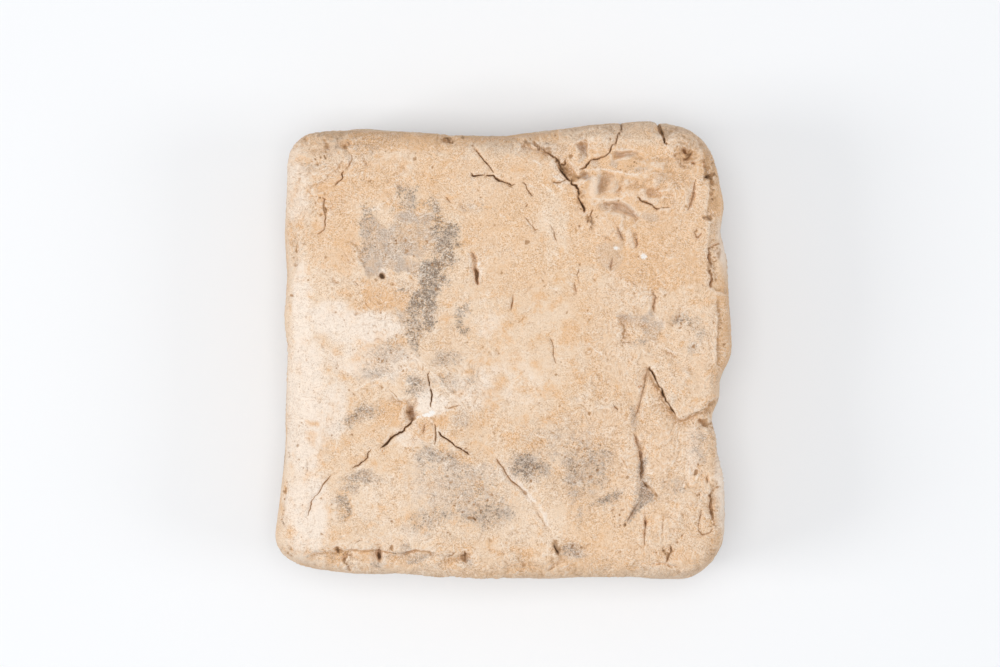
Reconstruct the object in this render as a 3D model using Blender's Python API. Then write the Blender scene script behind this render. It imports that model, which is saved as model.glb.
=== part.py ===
"""Cuneiform tablet: a small, nearly square, pillow-shaped lump of clay.

It lies on its underside with the face up: +X is right, +Y is the tablet's upper edge and +Z is up,
and the origin is under the middle of its bounding box, on the surface that it rests on.
The solid is a finely divided cube that is pressed into a rounded cushion with four slightly uneven
sides. Wedge marks, cracks, flakes and worn hollows are then pushed into its face and its edges, the
surplus points of the smooth stretches are dropped, and the underside is cut flat.
"""

import bmesh
import bpy
import numpy as np

MM = 0.001

# Overall form, in millimetres
HALF_WIDTH = 31.45  # centre to the widest point of the left and right sides
HALF_HEIGHT = 31.75  # centre to the furthest point of the upper and lower sides
THICKNESS = 21.0
UNDERSIDE_BULGE = 0.9  # how far the underside would swell below the flat that it rests on
FACE_DOME = 1.1  # how much lower the face is beside its edges than in the middle
FACE_EDGE_RADIUS = 3.6
UNDERSIDE_EDGE_RADIUS = 5.5
SIDE_BULGE = 0.9  # how much wider the tablet is at mid-height than where the edges start to round
# Corner radii by the signs of x and y
CORNER_RADII = {(-1, 1): 6.4, (1, 1): 8.4, (1, -1): 7.4, (-1, -1): 6.2}
DOME_SLOPE_SHARE = 0.55  # share of the dome that slopes evenly; the rest falls away close to the edges

# How far each side stands back from the widest line: (place along the side, millimetres back)
LEFT_SIDE = (
    (-25, 0.0), (-21, 0.5), (-15, 1.1), (-5, 1.5), (0, 1.6), (4, 1.0), (11, 1.5), (17, 1.0), (25, 1.3),
)
RIGHT_SIDE = (
    (-25, 0.6), (-19, 0.7), (-14, 1.8), (-9, 2.6), (-7, 1.5), (-4, 1.6), (-1, 0.1), (2, 0.0),
    (8, 0.3), (13, 0.6), (16, 1.5), (20, 1.0), (25, 1.9),
)
UPPER_SIDE = (
    (-26, 1.4), (-20, 1.2), (-11, 1.6), (-7, 2.0), (0, 2.1), (5, 1.3), (12, 0.4), (20, 0.2), (24, 1.0),
)
LOWER_SIDE = (
    (-27, 1.8), (-20, 0.8), (-14, 0.6), (-9, 0.0), (-7, 0.3), (2, 0.0), (12, 0.2), (18, 0.2), (22, 0.0),
)
SIDE_SOFTNESS = 1.2  # the side lines are averaged over this many millimetres each way

# Cracks and grooves in the face: (points along it, half width, depth)
CRACKS = (
    (((2.0, 29.0), (5.5, 27.4), (7.6, 25.4), (9.2, 23.3), (10.2, 21.2), (11.0, 19.3)), 0.9, 1.2),
    (((9.8, 24.6), (11.9, 25.9), (14.1, 26.6), (15.5, 28.8), (16.05, 30.8)), 0.8, 1.1),
    (((21.3, 30.6), (21.7, 29.0), (22.2, 28.0)), 0.8, 1.2),
    (((-4.6, 27.9), (-2.9, 26.3), (-1.1, 24.0), (0.4, 22.8), (1.8, 22.4)), 0.75, 0.6),
    (((2.0, 22.9), (3.2, 22.0), (4.3, 20.8)), 0.75, 0.5),
    (((-4.3, 13.5), (-3.9, 12.2), (-3.5, 10.3)), 0.75, 0.6),
    (((-10.1, -2.6), (-9.8, -5.2), (-9.9, -8.2)), 0.75, 0.6),
    (((-10.2, -8.3), (-13.0, -10.0), (-15.5, -12.1), (-18.6, -14.8)), 0.75, 0.8),
    (((-9.4, -9.0), (-8.6, -11.2), (-6.4, -13.0), (-4.5, -14.1)), 0.75, 0.8),
    (((20.0, -2.0), (21.0, -4.5), (22.6, -7.5), (23.9, -9.0)), 0.8, 1.0),
    (((23.9, -9.0), (26.6, -8.1), (29.2, -6.6)), 0.8, 0.7),
    (((17.6, -11.3), (18.6, -14.5), (18.8, -18.0), (19.3, -23.0), (19.2, -26.4)), 0.8, 1.0),
    (((-1.3, -14.0), (2.2, -18.4), (4.8, -22.1), (7.0, -25.8), (7.4, -28.0)), 0.75, 0.5),
    (((-22.6, -16.7), (-25.0, -19.2), (-26.7, -22.5)), 0.75, 0.4),
    (((-17.2, -26.8), (-14.0, -27.6), (-8.5, -27.4)), 0.8, 0.7),
)

CRACK_TAPER = 6.0  # a crack reaches its full depth this fraction, 1/6, of its length from its ends
CRACK_OVERRUN = 0.05  # share of its length by which a crack's taper starts before its ends

# Hollows in the face: (centre x, centre y, half length, half width, turn in degrees, depth)
HOLLOWS = (
    (8.8, 24.4, 1.6, 1.1, -40, 1.0),  # dark pit where the main cracks meet
    (11.0, 27.4, 1.5, 0.9, -70, 0.9),  # wedge mark
    (14.2, 22.4, 1.9, 1.6, 80, 0.8),  # wedge mark
    (16.3, 19.4, 2.6, 1.3, -25, 0.8),  # wedge mark
    (16.8, 26.8, 2.2, 0.7, 0, 0.5),  # wedge mark
    (16.6, 15.4, 1.8, 1.3, -60, 0.5),  # wedge mark
    (18.0, 3.6, 3.2, 1.5, -15, 0.6),  # worn wedge mark
    (26.5, 26.5, 2.6, 1.5, -50, 1.1),  # chipped upper right corner
    (28.8, 14.5, 3.4, 1.1, 85, 0.9),  # flaked right edge
    (27.9, -9.6, 1.9, 1.2, 60, 1.0),  # notch under the lifted flake
    (19.3, -19.3, 1.9, 1.1, -70, 1.2),  # dark hollow on the long gouge
    (28.0, -23.4, 3.0, 1.0, 85, 0.7),  # flaked lower right edge
    (22.2, -27.8, 1.8, 1.0, 70, 0.6),
    (-10.4, -8.4, 1.7, 1.2, 0, 0.6),  # crater at the middle of the star-shaped crack
    (-12.9, -7.6, 1.2, 1.0, 80, 0.7),
    (-16.8, -27.7, 1.1, 0.7, 90, 1.1),  # notch in the lower edge
    (-21.5, -27.9, 3.8, 1.2, -8, 0.5),  # chipped lower edge
    (-12.0, -28.6, 4.2, 1.0, 0, 0.5),
    (2.0, -27.4, 3.0, 1.8, 0, 0.4),
    (-28.6, 14.5, 3.0, 0.8, 90, 0.6),
    (-24.5, 26.5, 3.2, 2.4, 30, 0.3),
)

# The lifted flake on the right: a plate that stands proud between a fold line and the crack
FLAKE_CENTRE = (24.5, -4.5)
FLAKE_SIZE = (4.6, 5.0)
FLAKE_RISE = 0.45

# The relief is pressed in fully at the top of the sides and not at all below this share of the thickness
RELIEF_START = 0.45
RELIEF_FADE = 0.35  # share of the thickness over which the relief comes in

# Slow unevenness of hand-worked clay: (height, waves per millimetre along x, y and z, phase)
LUMPS = (
    (0.16, 0.155, 0.062, 0.11, 0.4),
    (0.13, -0.071, 0.168, 0.19, 2.1),
    (0.08, 0.262, -0.213, 0.27, 4.0),
    (0.05, 0.391, 0.347, -0.35, 1.3),
)
LUMP_SINK = 0.2  # how far the whole surface is drawn in, so that most lumps stay inside the outline

GRID_CUTS = (139, 139, 25)  # cuts along x, y and z before shaping
EDGE_CROWDING = 0.25  # how much the grid lines gather towards the edges
KEPT_SHARE = 0.085  # share of the triangles that is kept on the finished solid
CUTTER_SIZE = 100.0

CLAY_COLOUR = (0.76, 0.54, 0.36, 1.0)
CLAY_ROUGHNESS = 0.9


def clear_scene():
    for obj in list(bpy.data.objects):
        bpy.data.objects.remove(obj, do_unlink=True)


def new_collection(name):
    collection = bpy.data.collections.new(name)
    bpy.context.scene.collection.children.link(collection)
    return collection


def divided_cube():
    """A cube from -1 to 1, divided into a fine grid on every side."""
    bm = bmesh.new()
    bmesh.ops.create_cube(bm, size=2.0)
    for axis, cuts in enumerate(GRID_CUTS):
        along = [e for e in bm.edges if abs(e.verts[0].co[axis] - e.verts[1].co[axis]) > 0.01]
        bmesh.ops.subdivide_edges(bm, edges=along, cuts=cuts, use_grid_fill=True)
    mesh = bpy.data.meshes.new("tablet")
    bm.to_mesh(mesh)
    bm.free()
    return mesh


def side_inset(along, knots):
    """How far a side stands back at each place along it, as a soft line through its knots."""
    places, insets = np.array(knots, float).T
    steps = np.linspace(-SIDE_SOFTNESS, SIDE_SOFTNESS, 7)
    return sum(np.interp(along + step, places, insets) for step in steps) / len(steps)


def outline(x, y):
    """Points of a square ring of half sides HALF_WIDTH and HALF_HEIGHT, moved onto the tablet's outline."""
    radius = np.zeros_like(x)
    for (sign_x, sign_y), corner_radius in CORNER_RADII.items():
        radius[(x * sign_x >= 0) & (y * sign_y >= 0)] = corner_radius
    past_x = np.maximum(np.abs(x) - (HALF_WIDTH - radius), 0)
    past_y = np.maximum(np.abs(y) - (HALF_HEIGHT - radius), 0)
    reach = np.maximum(np.hypot(past_x, past_y), 1e-9)
    facing_x, facing_y = past_x / reach, past_y / reach
    # A point on a straight side faces straight out, and one at a corner lies on its arc.
    x = np.sign(x) * (np.abs(x) - past_x + facing_x * radius)
    y = np.sign(y) * (np.abs(y) - past_y + facing_y * radius)
    back_x = np.where(x < 0, side_inset(y, LEFT_SIDE), side_inset(y, RIGHT_SIDE))
    back_y = np.where(y < 0, side_inset(x, LOWER_SIDE), side_inset(x, UPPER_SIDE))
    return x - np.sign(x) * facing_x * back_x, y - np.sign(y) * facing_y * back_y


def rounded_section(depth, z):
    """Rounds a section's four edges. depth is the distance in from the side, z the height."""
    low, high = -UNDERSIDE_BULGE, THICKNESS
    middle = (low + high) / 2
    radius = np.where(z > middle, FACE_EDGE_RADIUS, UNDERSIDE_EDGE_RADIUS)
    past_side = np.maximum(radius - depth, 0)
    past_face = np.maximum(np.abs(z - middle) - ((high - low) / 2 - radius), 0)
    reach = np.hypot(past_side, past_face)
    corner = (past_side > 0) & (past_face > 0)
    share = np.where(corner, radius / np.maximum(reach, 1e-9), 1.0)
    up = np.sign(z - middle)
    new_depth = np.where(corner, radius - past_side * share, depth)
    new_z = np.where(corner, z - up * past_face * (1 - share), z)
    slope = (new_z - middle) / ((high - low) / 2)
    return new_depth + SIDE_BULGE * slope**2 * np.exp(-new_depth / FACE_EDGE_RADIUS), new_z


def cushion(cube):
    """Moves the points of the cube from -1 to 1 onto the plain cushion, in millimetres."""
    x, y, z = ((1 + EDGE_CROWDING) * cube - EDGE_CROWDING * cube**3).T
    ring = np.maximum(np.maximum(np.abs(x), np.abs(y)), 1e-9)
    edge_x, edge_y = outline(x / ring * HALF_WIDTH, y / ring * HALF_HEIGHT)
    height = (z + 1) / 2 * (THICKNESS + UNDERSIDE_BULGE) - UNDERSIDE_BULGE
    depth, height = rounded_section((1 - ring) * HALF_WIDTH, height)
    ring = 1 - depth / HALF_WIDTH
    middle = (THICKNESS - UNDERSIDE_BULGE) / 2
    fall = (height - middle) / (THICKNESS - middle)
    dome = FACE_DOME * (DOME_SLOPE_SHARE * ring**2 + (1 - DOME_SLOPE_SHARE) * ring**6)
    height = height - np.clip(fall, 0, 1) * dome + np.clip(-fall, 0, 1) * UNDERSIDE_BULGE * ring**2
    return np.column_stack([edge_x * ring, edge_y * ring, height])


def path_distance(x, y, path):
    """Distance from each point to a path, and the share of it before its nearest place."""
    path = np.array(path, float)
    lengths = np.hypot(*np.diff(path, axis=0).T)
    starts = np.concatenate([[0], np.cumsum(lengths)])
    nearest, along = np.full(x.shape, 1e9), np.zeros(x.shape)
    for start, end, length, before in zip(path[:-1], path[1:], lengths, starts):
        share = ((x - start[0]) * (end[0] - start[0]) + (y - start[1]) * (end[1] - start[1])) / length**2
        share = np.clip(share, 0, 1)
        distance = np.hypot(
            x - start[0] - share * (end[0] - start[0]), y - start[1] - share * (end[1] - start[1])
        )
        closer = distance < nearest
        nearest = np.where(closer, distance, nearest)
        along = np.where(closer, (before + share * length) / starts[-1], along)
    return nearest, along


def crack_depth(x, y):
    """The deepest of the cracks at each point. Each one is a V that fades out at its two ends."""
    depth = np.zeros_like(x)
    for path, half_width, deepest in CRACKS:
        distance, along = path_distance(x, y, path)
        from_end = np.minimum(along, 1 - along) + CRACK_OVERRUN
        ends = np.minimum(1, CRACK_TAPER * from_end)
        depth = np.maximum(depth, deepest * ends * np.clip(1 - distance / half_width, 0, 1))
    return depth


def hollow_depth(x, y):
    """The sum of the hollows at each point. Each one is a smooth oval bowl."""
    depth = np.zeros_like(x)
    for centre_x, centre_y, half_length, half_width, turn, deepest in HOLLOWS:
        angle = np.radians(turn)
        along = (x - centre_x) * np.cos(angle) + (y - centre_y) * np.sin(angle)
        across = (y - centre_y) * np.cos(angle) - (x - centre_x) * np.sin(angle)
        inside = (along / half_length) ** 2 + (across / half_width) ** 2
        depth += deepest * np.exp(-(inside**1.5))
    return depth


def flake_rise(x, y):
    across = ((x - FLAKE_CENTRE[0]) / FLAKE_SIZE[0]) ** 2 + ((y - FLAKE_CENTRE[1]) / FLAKE_SIZE[1]) ** 2
    return FLAKE_RISE * np.exp(-(across**2))


def worn(points):
    """Presses the relief into the face and gives the whole surface a slight unevenness."""
    x, y, z = points.T
    facing_up = np.clip((z / THICKNESS - RELIEF_START) / RELIEF_FADE, 0, 1)
    z = z - facing_up * (crack_depth(x, y) + hollow_depth(x, y) - flake_rise(x, y))
    lump = sum(size * np.sin(a * x + b * y + c * z + phase) for size, a, b, c, phase in LUMPS)
    out = np.column_stack([x / HALF_WIDTH, y / HALF_HEIGHT, (z - THICKNESS / 2) / (THICKNESS / 2)]) ** 3
    out /= np.maximum(np.linalg.norm(out, axis=1, keepdims=True), 1e-9)
    return np.column_stack([x, y, z]) + out * (lump - LUMP_SINK)[:, None]


def centred(points):
    """Centres the plan on the origin and sets the highest point at THICKNESS."""
    low, high = points.min(axis=0), points.max(axis=0)
    return points - [(low[0] + high[0]) / 2, (low[1] + high[1]) / 2, high[2] - THICKNESS]


def clay_material():
    material = bpy.data.materials.new("clay")
    material.use_nodes = True
    shader = material.node_tree.nodes["Principled BSDF"]
    shader.inputs["Base Color"].default_value = CLAY_COLOUR
    shader.inputs["Roughness"].default_value = CLAY_ROUGHNESS
    shader.inputs["Metallic"].default_value = 0.0
    return material


def resting_plane_cutter(collection):
    """A block whose top is the surface that the tablet rests on."""
    bm = bmesh.new()
    bmesh.ops.create_cube(bm, size=CUTTER_SIZE * MM)
    mesh = bpy.data.meshes.new("resting_plane_cutter")
    bm.to_mesh(mesh)
    bm.free()
    cutter = bpy.data.objects.new("resting_plane_cutter", mesh)
    cutter.location.z = -CUTTER_SIZE * MM / 2
    cutter.hide_render = True
    cutter.display_type = "WIRE"
    collection.objects.link(cutter)
    return cutter


def make_tablet(collection, cutter):
    mesh = divided_cube()
    points = np.empty(len(mesh.vertices) * 3)
    mesh.vertices.foreach_get("co", points)
    points = centred(worn(cushion(points.reshape(-1, 3))))
    mesh.vertices.foreach_set("co", (points * MM).ravel())
    mesh.shade_smooth()
    mesh.materials.append(clay_material())
    tablet = bpy.data.objects.new("tablet", mesh)
    collection.objects.link(tablet)
    fewer = tablet.modifiers.new("drop_surplus_points", "DECIMATE")
    fewer.ratio = KEPT_SHARE
    flat = tablet.modifiers.new("flat_underside", "BOOLEAN")
    flat.operation = "DIFFERENCE"
    flat.solver = "EXACT"
    flat.object = cutter
    return tablet


def main():
    clear_scene()
    cutter = resting_plane_cutter(new_collection("cutters"))
    make_tablet(new_collection("cuneiform_tablet"), cutter)


main()
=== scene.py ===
"""The look of the cuneiform tablet: one finely worked clay mesh in place of the plain solid.

Lengths in the tables are millimetres in the tablet's own frame, seen from above its face: x to
the right, y towards the upper edge and z up from the surface that it rests on. The mesh is scaled
to metres at the end.
"""

import itertools

import bpy
import numpy as np
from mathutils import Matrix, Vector


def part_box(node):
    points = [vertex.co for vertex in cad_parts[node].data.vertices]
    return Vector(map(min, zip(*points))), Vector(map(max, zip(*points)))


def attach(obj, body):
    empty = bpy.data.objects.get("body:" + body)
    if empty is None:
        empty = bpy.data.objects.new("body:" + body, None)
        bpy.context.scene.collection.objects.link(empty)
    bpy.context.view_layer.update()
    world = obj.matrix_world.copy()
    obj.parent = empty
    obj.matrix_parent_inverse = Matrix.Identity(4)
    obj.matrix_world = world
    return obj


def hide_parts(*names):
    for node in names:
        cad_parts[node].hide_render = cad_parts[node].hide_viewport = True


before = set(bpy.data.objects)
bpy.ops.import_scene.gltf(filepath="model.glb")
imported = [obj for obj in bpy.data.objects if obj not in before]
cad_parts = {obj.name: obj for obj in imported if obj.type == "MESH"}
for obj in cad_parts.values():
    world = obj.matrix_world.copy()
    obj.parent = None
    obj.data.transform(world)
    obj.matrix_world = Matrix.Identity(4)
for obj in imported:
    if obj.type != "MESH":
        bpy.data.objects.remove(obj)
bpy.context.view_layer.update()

MM = 0.001
# The solid's box
LOW, HIGH = (np.array(corner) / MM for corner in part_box("tablet"))

# ---------------------------------------------------------------- overall form, as in the solid
HALF_WIDTH = 31.45
HALF_HEIGHT = 31.75
THICKNESS = 21.0
UNDERSIDE_BULGE = 0.9
FACE_DOME = 1.1
# How the face falls away from its middle: power of the distance and share of the dome
DOME_SHARES = ((2, 0.55), (6, 0.45))
FACE_EDGE_RADIUS = 3.4
RIGHT_EDGE_RADIUS = 1.8
# Where the right edge's radius takes over, in half widths from the middle
RIGHT_EDGE_STARTS = (0.6, 0.9)
UNDERSIDE_EDGE_RADIUS = 5.5
SIDE_BULGE = 0.9
CORNER_RADII = {(-1, 1): 6.4, (1, 1): 8.4, (1, -1): 7.4, (-1, -1): 6.2}
# How far each side lies in from the square: place along the side, distance
LEFT_SIDE = (
    (-25, 0), (-21, 0.5), (-15, 1.1), (-5, 1.5), (0, 1.6), (4, 1.0), (11, 1.5), (17, 1.0),
    (25, 1.3),
)
RIGHT_SIDE = (
    (-25, 0.6), (-19, 0.7), (-14, 1.8), (-9, 2.6), (-7, 1.5), (-4, 1.6), (-1, 0.1), (2, 0.0),
    (8, 0.3), (13, 0.6), (16, 1.5), (20, 1.0), (25, 1.9),
)
UPPER_SIDE = (
    (-26, 1.4), (-20, 1.2), (-11, 1.6), (-7, 2.0), (0, 2.1), (5, 1.3), (12, 0.4), (20, 0.2),
    (24, 1.0),
)
LOWER_SIDE = (
    (-27, 1.8), (-20, 0.8), (-14, 0.6), (-9, 0.0), (-7, 0.3), (2, 0.0), (12, 0.2), (18, 0.2),
    (22, 0.0),
)
SIDE_SOFTNESS = 0.9
SIDE_SAMPLES = 7
# Waves that make the form uneven: height, then how fast they run along x, y and z, and phase
LUMPS = (
    (0.16, 0.155, 0.062, 0.11, 0.4),
    (0.13, -0.071, 0.168, 0.19, 2.1),
    (0.08, 0.262, -0.213, 0.27, 4.0),
    (0.05, 0.391, 0.347, -0.35, 1.3),
)
LUMPS_LOWERED = 0.2

# Fineness: points along x, y and z of the form, most triangles, and spacing of the face's maps
GRID_STEPS = ((600, 600, 84))
MOST_TRIANGLES = 197000
CELL = 0.07
REACH = 33.0
AXIS = np.arange(-REACH, REACH + CELL / 2, CELL)
FACE_SHAPE = (len(AXIS), len(AXIS))

# ---------------------------------------------------------------- marks on the face
# Cracks: half width, darkness of the dirt and painted shade that fill it, then x and y of the points along
# it
CRACKS = (
    (.09, .8, -9.9, -2.7, -10.2, -3.3, -9.9, -4.8),
    # upper left
    (.13, .9, -21.6, 24.4, -21.9, 24, -21.8, 23.3, -22.8, 22.4),
    (.09, .6, -20.5, 26.6, -20.4, 26.1, -20.9, 25, -21.4, 24.6),
    (.1, .6, -24.5, 20.9, -24.1, 20.5, -24.3, 20.2, -24.4, 19.4, -24.1, 18.2, -24.1, 17.1, -24.3, 16.4,
     -25.3, 15.6), (.13, .6, -18.6, 25.7, -18.6, 25.1), (.16, .5, -21.2, 28.7, -20.7, 28.2),
    (.1, .5, -27.9, 15, -28.1, 13.3), (.1, .5, -20.2, 9.4, -19.5, 8.7),
    # upper middle
    (.14, .9, -8.4, 28.7, -8, 28.9, -7.2, 28.9, -7.5, 28.4, -6.9, 28.2, -6.7, 28.5),
    (.12, 1, -4.4, 27.9, -4.1, 27.8, -1.2, 24.1),
    (.15, 1, -4.4, 24.1, -4.2, 23.8, -3.9, 23.7, -1.3, 23.8, -.6, 23.1, .9, 22.6, 1.8, 22.6),
    (.08, .7, .4, 22.6, 1.4, 22.1), (.1, .8, 2.4, 22.9, 2.8, 22.8, 3.4, 21.7, 3.8, 21.2, 4.2, 21),
    (.12, .7, 3.3, 20, 3, 19.5), (.08, .6, 2.9, 18.2, 3.6, 17.2, 4, 16.9, 4.3, 16.3, 5, 16.4),
    (.1, .6, -7.9, 20.9, -7, 20), (.06, .4, -5.9, 19.9, -4.5, 18.5),
    (.08, .5, 6.4, 17, 7, 16, 7, 15.4, 7.3, 14.7), (.1, .5, -4.3, 13.4, -3.5, 12.2),
    (.28, .6, -3.8, 11.3, -3.6, 10.9, -3.6, 9.8, -3.4, 9.1),
    # fissure at the upper edge and its spurs
    (.16, .8, 4, 28.5, 4.9, 27.6, 5.5, 27.5, 6.4, 26.7, 7, 26.3, 7.6, 25.6, 7.7, 25.2, 8.4, 24.2),
    (.12, .8, 7.5, 24.9, 7.7, 25.2, 8.4, 25.3, 8.5, 26), (.22, 1, 7.5, 24.9, 9.1, 23),
    (.17, 1, 9.2, 23.4, 9.3, 22.6, 9.9, 22.4, 10.2, 21.9, 10.3, 21.3, 10.1, 20.9),
    (.27, 1, 10.1, 20.9, 11, 19.3, 11, 18.8), (.09, .7, 12.3, 19.2, 11.9, 18.5, 11.9, 18.2),
    (.1, .8, 11.6, 18, 11.4, 17.3), (.1, .8, 11.8, 17, 12.1, 16.4),
    (.1, .8, 8.6, 23.3, 7.8, 22.8, 6.9, 22.9, 6.6, 22.7),
    (.15, 1, 10.3, 24.6, 11.2, 24.9, 11.9, 25.9, 13, 26.1, 14.1, 26.6, 14.9, 28, 15.3, 28.3, 15.5, 29.2,
     15.9, 29.7, 16.1, 30.7, 16.1, 33),
    # upper right
    (.12, .5, 15.5, 16.8, 16.3, 15.1), (.15, .3, 18.1, 15.2, 18, 14), (.12, .3, 14.9, 12.8, 14.6, 11),
    (.23, 1, 21.2, 33, 21.4, 30.1, 21.8, 29.2, 21.9, 28.3, 22.3, 28.1),
    (.1, .5, 21.2, 30.3, 21.6, 30.6, 22.5, 30.5, 23, 30.2), (.3, .7, 24.5, 27.4, 25, 26.5),
    (.25, .7, 24.5, 26, 25.4, 26.3), (.2, .6, 25.6, 25.5, 26, 25.4), (.2, .6, 27.3, 26.1, 27.6, 24),
    (.16, .6, 28.1, 25, 28.4, 23.8, 28.2, 23), (.14, .4, 26.1, 23, 25.8, 22, 25.8, 21, 25, 19.1),
    (.13, .8, 18.1, 20.8, 18.7, 20.3, 20.3, 19.7, 20.8, 19.2, 22.7, 19.4),
    (.13, .7, 27.2, 18.2, 28.1, 17.8, 28.2, 17.5), (.12, .5, 25.8, 16, 26.2, 15.7, 26.3, 15.3, 26.9, 16),
    (.16, .6, 29.5, 14.5, 28.8, 14.4, 28.4, 14, 27.9, 13.9, 27.8, 13.5),
    (.2, .6, 28, 13.5, 27.9, 12.7, 28.3, 11.5), (.18, .6, 28, 11, 28.3, 9.8, 28.2, 8.6),
    # middle
    (.09, .6, 10.3, 11.2, 10, 10.1, 10.3, 9), (.1, .3, 9.6, 9.3, 10, 7.6),
    (.12, .4, 20.2, 8, 20.7, 7.2, 20.3, 6, 20.5, 5.2), (.09, .6, 16.2, 1.1, 17.5, 1.1),
    (.12, .6, 1.4, 8, 1.1, 5.5), (.09, .5, 6.4, 1.9, 6.8, .7, 6.8, -.3, 7.2, -1.8),
    # loose flake on the right
    (.16, 1, 19.9, -2.1, 19.9, -2.6, 20.6, -3.6, 21.2, -4.9, 21.6, -5.3, 22.1, -6.8, 23.4, -8.7),
    (.09, .6, 23.8, -8.9, 24.6, -8.9, 25.3, -8.7, 27.6, -7.8, 28.8, -6.6),
    (.11, .4, 19.5, -2.9, 18.6, -7, 17.9, -8.9), (.14, .6, 15, -7.3, 15.5, -8.1),
    (.1, .5, 28.2, -10.8, 28.5, -11.9),
    # gouge on the right
    (.12, .4, 17.7, -11.2, 18.6, -13.4), (.2, .5, 18.6, -13.4, 18.8, -15, 18.7, -17.4),
    (.15, .8, 19.1, -17.7, 19.7, -18.6), (.12, .4, 18.2, -20.8, 17.5, -21.9, 16.6, -23.3),
    (.24, .7, 19.2, -23, 19.3, -24), (.1, .6, 19.2, -24, 19.2, -26.4), (.05, .3, 21.7, -21.2, 21.6, -24.8),
    # lower right
    (.1, .6, 26.9, -21.6, 26.5, -24.3, 27, -24.9, 27.8, -24.8, 28.3, -24.5, 28.5, -24.1),
    (.18, .8, 28.2, -19.2, 28.1, -21.2, 28.5, -22.9), (.12, .6, 27.7, -17, 27.7, -18),
    (.13, .8, 22, -26.5, 21.6, -26.8, 21.4, -27.3), (.15, .8, 22.7, -26.5, 22.8, -27.3, 22.1, -28.7),
    (.1, .5, 20.1, -29.1, 21.8, -28.9, 22.5, -29.2, 23.8, -29.4),
    # star-shaped crack
    (.14, 1, -10.2, -3.6, -9.6, -6, -9.8, -7.6),
    (.16, 1, -12.1, -9.3, -13.1, -10.3, -13.4, -10.8, -14.6, -11.4, -15.8, -12.6, -16.7, -13.2),
    (.12, .9, -17.8, -13.3, -18.3, -13.9, -18.3, -14.4, -18.8, -14.9, -20.4, -15.9),
    (.1, .8, -9.6, -9.8, -9.2, -10.1, -9.1, -11.1, -9.3, -12.7),
    (.08, .6, -10.4, -9.7, -10.8, -10.6, -10.8, -11.4),
    (.14, 1, -8.8, -10.8, -8.4, -11.5, -6.5, -12.9, -5.3, -13.5, -4.5, -14.1),
    (.08, .6, -7.9, -7.7, -7.5, -7.8, -5.8, -7.3),
    (.07, .5, -15.6, -5.1, -15, -5.6, -14.1, -6.8, -13, -6.8),
    # lower middle
    (.12, .6, -.9, -14.6, .8, -17.2, 2.2, -18.4, 3, -19.4), (.07, .4, 4.6, -21.8, 6, -24.1),
    (.2, 1, 6.9, -26.3, 7.5, -27.7), (.1, .6, 7.6, -28.7, 7, -29.3, 6, -29.9),
    (.18, .7, -5.2, -27.2, -5.1, -27.7, -5.2, -28.4, -5, -28.8),
    (.1, .5, -7.9, -28.1, -7, -27.8, -6.3, -27.3), (.08, .5, 0, -29.6, 1.2, -29.2, 3, -29),
    # lower left
    (.13, .6, -29.4, -17.8, -29.7, -19, -29.9, -22, -30.2, -23, -29.5, -24),
    (.1, .6, -23.2, -16.8, -24.4, -18.1, -25.2, -19.5, -25.9, -20.2, -26.1, -21.4, -26.6, -22.5),
    (.1, .7, -20.1, -26.1, -19.1, -25.4),
    (.12, .7, -21.1, -27.6, -21.2, -27.9, -21.8, -28.5, -21.4, -28.9, -20, -29.6),
    (.14, .4, -16.4, -27.1, -14.5, -27.6, -13.5, -27.6, -11.9, -27),
)

# Pale raised lines and scratches, some of them painted highlights along ridges and on the lit walls of
# grooves: x and y of the points along each
PALE_LINES_AND_HIGHLIGHTS = (
    (-10, -2.8, -6.4, -6.6), (-10.4, -2.4, -9, -3.4, -7.6, -5.2, -6.8, -6.9),
    (-12.6, -2, -15, -3.2, -17, -4.6, -18.4, -5), (-11.6, -1.6, -10.4, -2.2, -9.9, -2.8),
    (-14, -2.8, -16.4, -3.4, -18.6, -4.4, -20.6, -5.6), (-9.2, -4, -7.6, -6),
    (-6, -7, -4.6, -6, -3.4, -4.4), (-6.4, -9.6, -5, -8.8, -3.6, -7.4),
    # painted highlights on the ridges of the marks
    (11.8, 25.6, 13.2, 24.6, 18, 23.8, 20.4, 24.6), (11.6, 20.5, 15.6, 20.5, 17, 20.9),
    # the first two here are painted highlights, on a ridge and on the lit wall of a groove
    (12.5, 21, 12.2, 24), (-3.1, 11.3, -3.1, 9.6), (-10.5, 6.6, -11.2, 4),
    (.5, -15.8, 1, -16.7, 1.7, -17.3), (5.3, -22.3, 6.3, -24), (3.2, -20, 4.3, -21.3),
    # the three here are painted highlights on ridges
    (15, 27.2, 18.3, 27.2), (11.7, 28.5, 11.4, 27, 11.8, 26.2), (21.5, .6, 24, -.7),
)

# Small holes: x, y, radius
HOLES = (
    (10.3, 16.9, .22), (10.4, 11.6, .18), (28.3, 21.2, .22), (24, 4.7, .22), (24.1, 3.8, .2),
    (23.9, 3.1, .2), (25.8, .6, .25), (26.7, -9.4, .3), (27.3, -10.1, .32), (25.8, -9.8, .2),
    (27.9, -10.7, .2), (28.6, -23.6, .25), (29.5, -23.2, .2), (23.6, -26, .25), (24.3, -25.1, .2),
    (3.8, -17.6, .2), (2.5, -14, .2), (-15.1, -23.1, .2), (-15.2, -26.7, .25), (-28.8, -27, .2),
    (14, -30.1, .2), (18.4, 12.8, .2), (14.5, 28.7, .2), (9.2, 26.4, .2), (-3, 20.8, .22),
    (-16.3, 10.3, .24), (-16.3, 10.1, .2), (-28.8, 7.6, .2), (-29.7, -19.2, .2),
)

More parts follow.
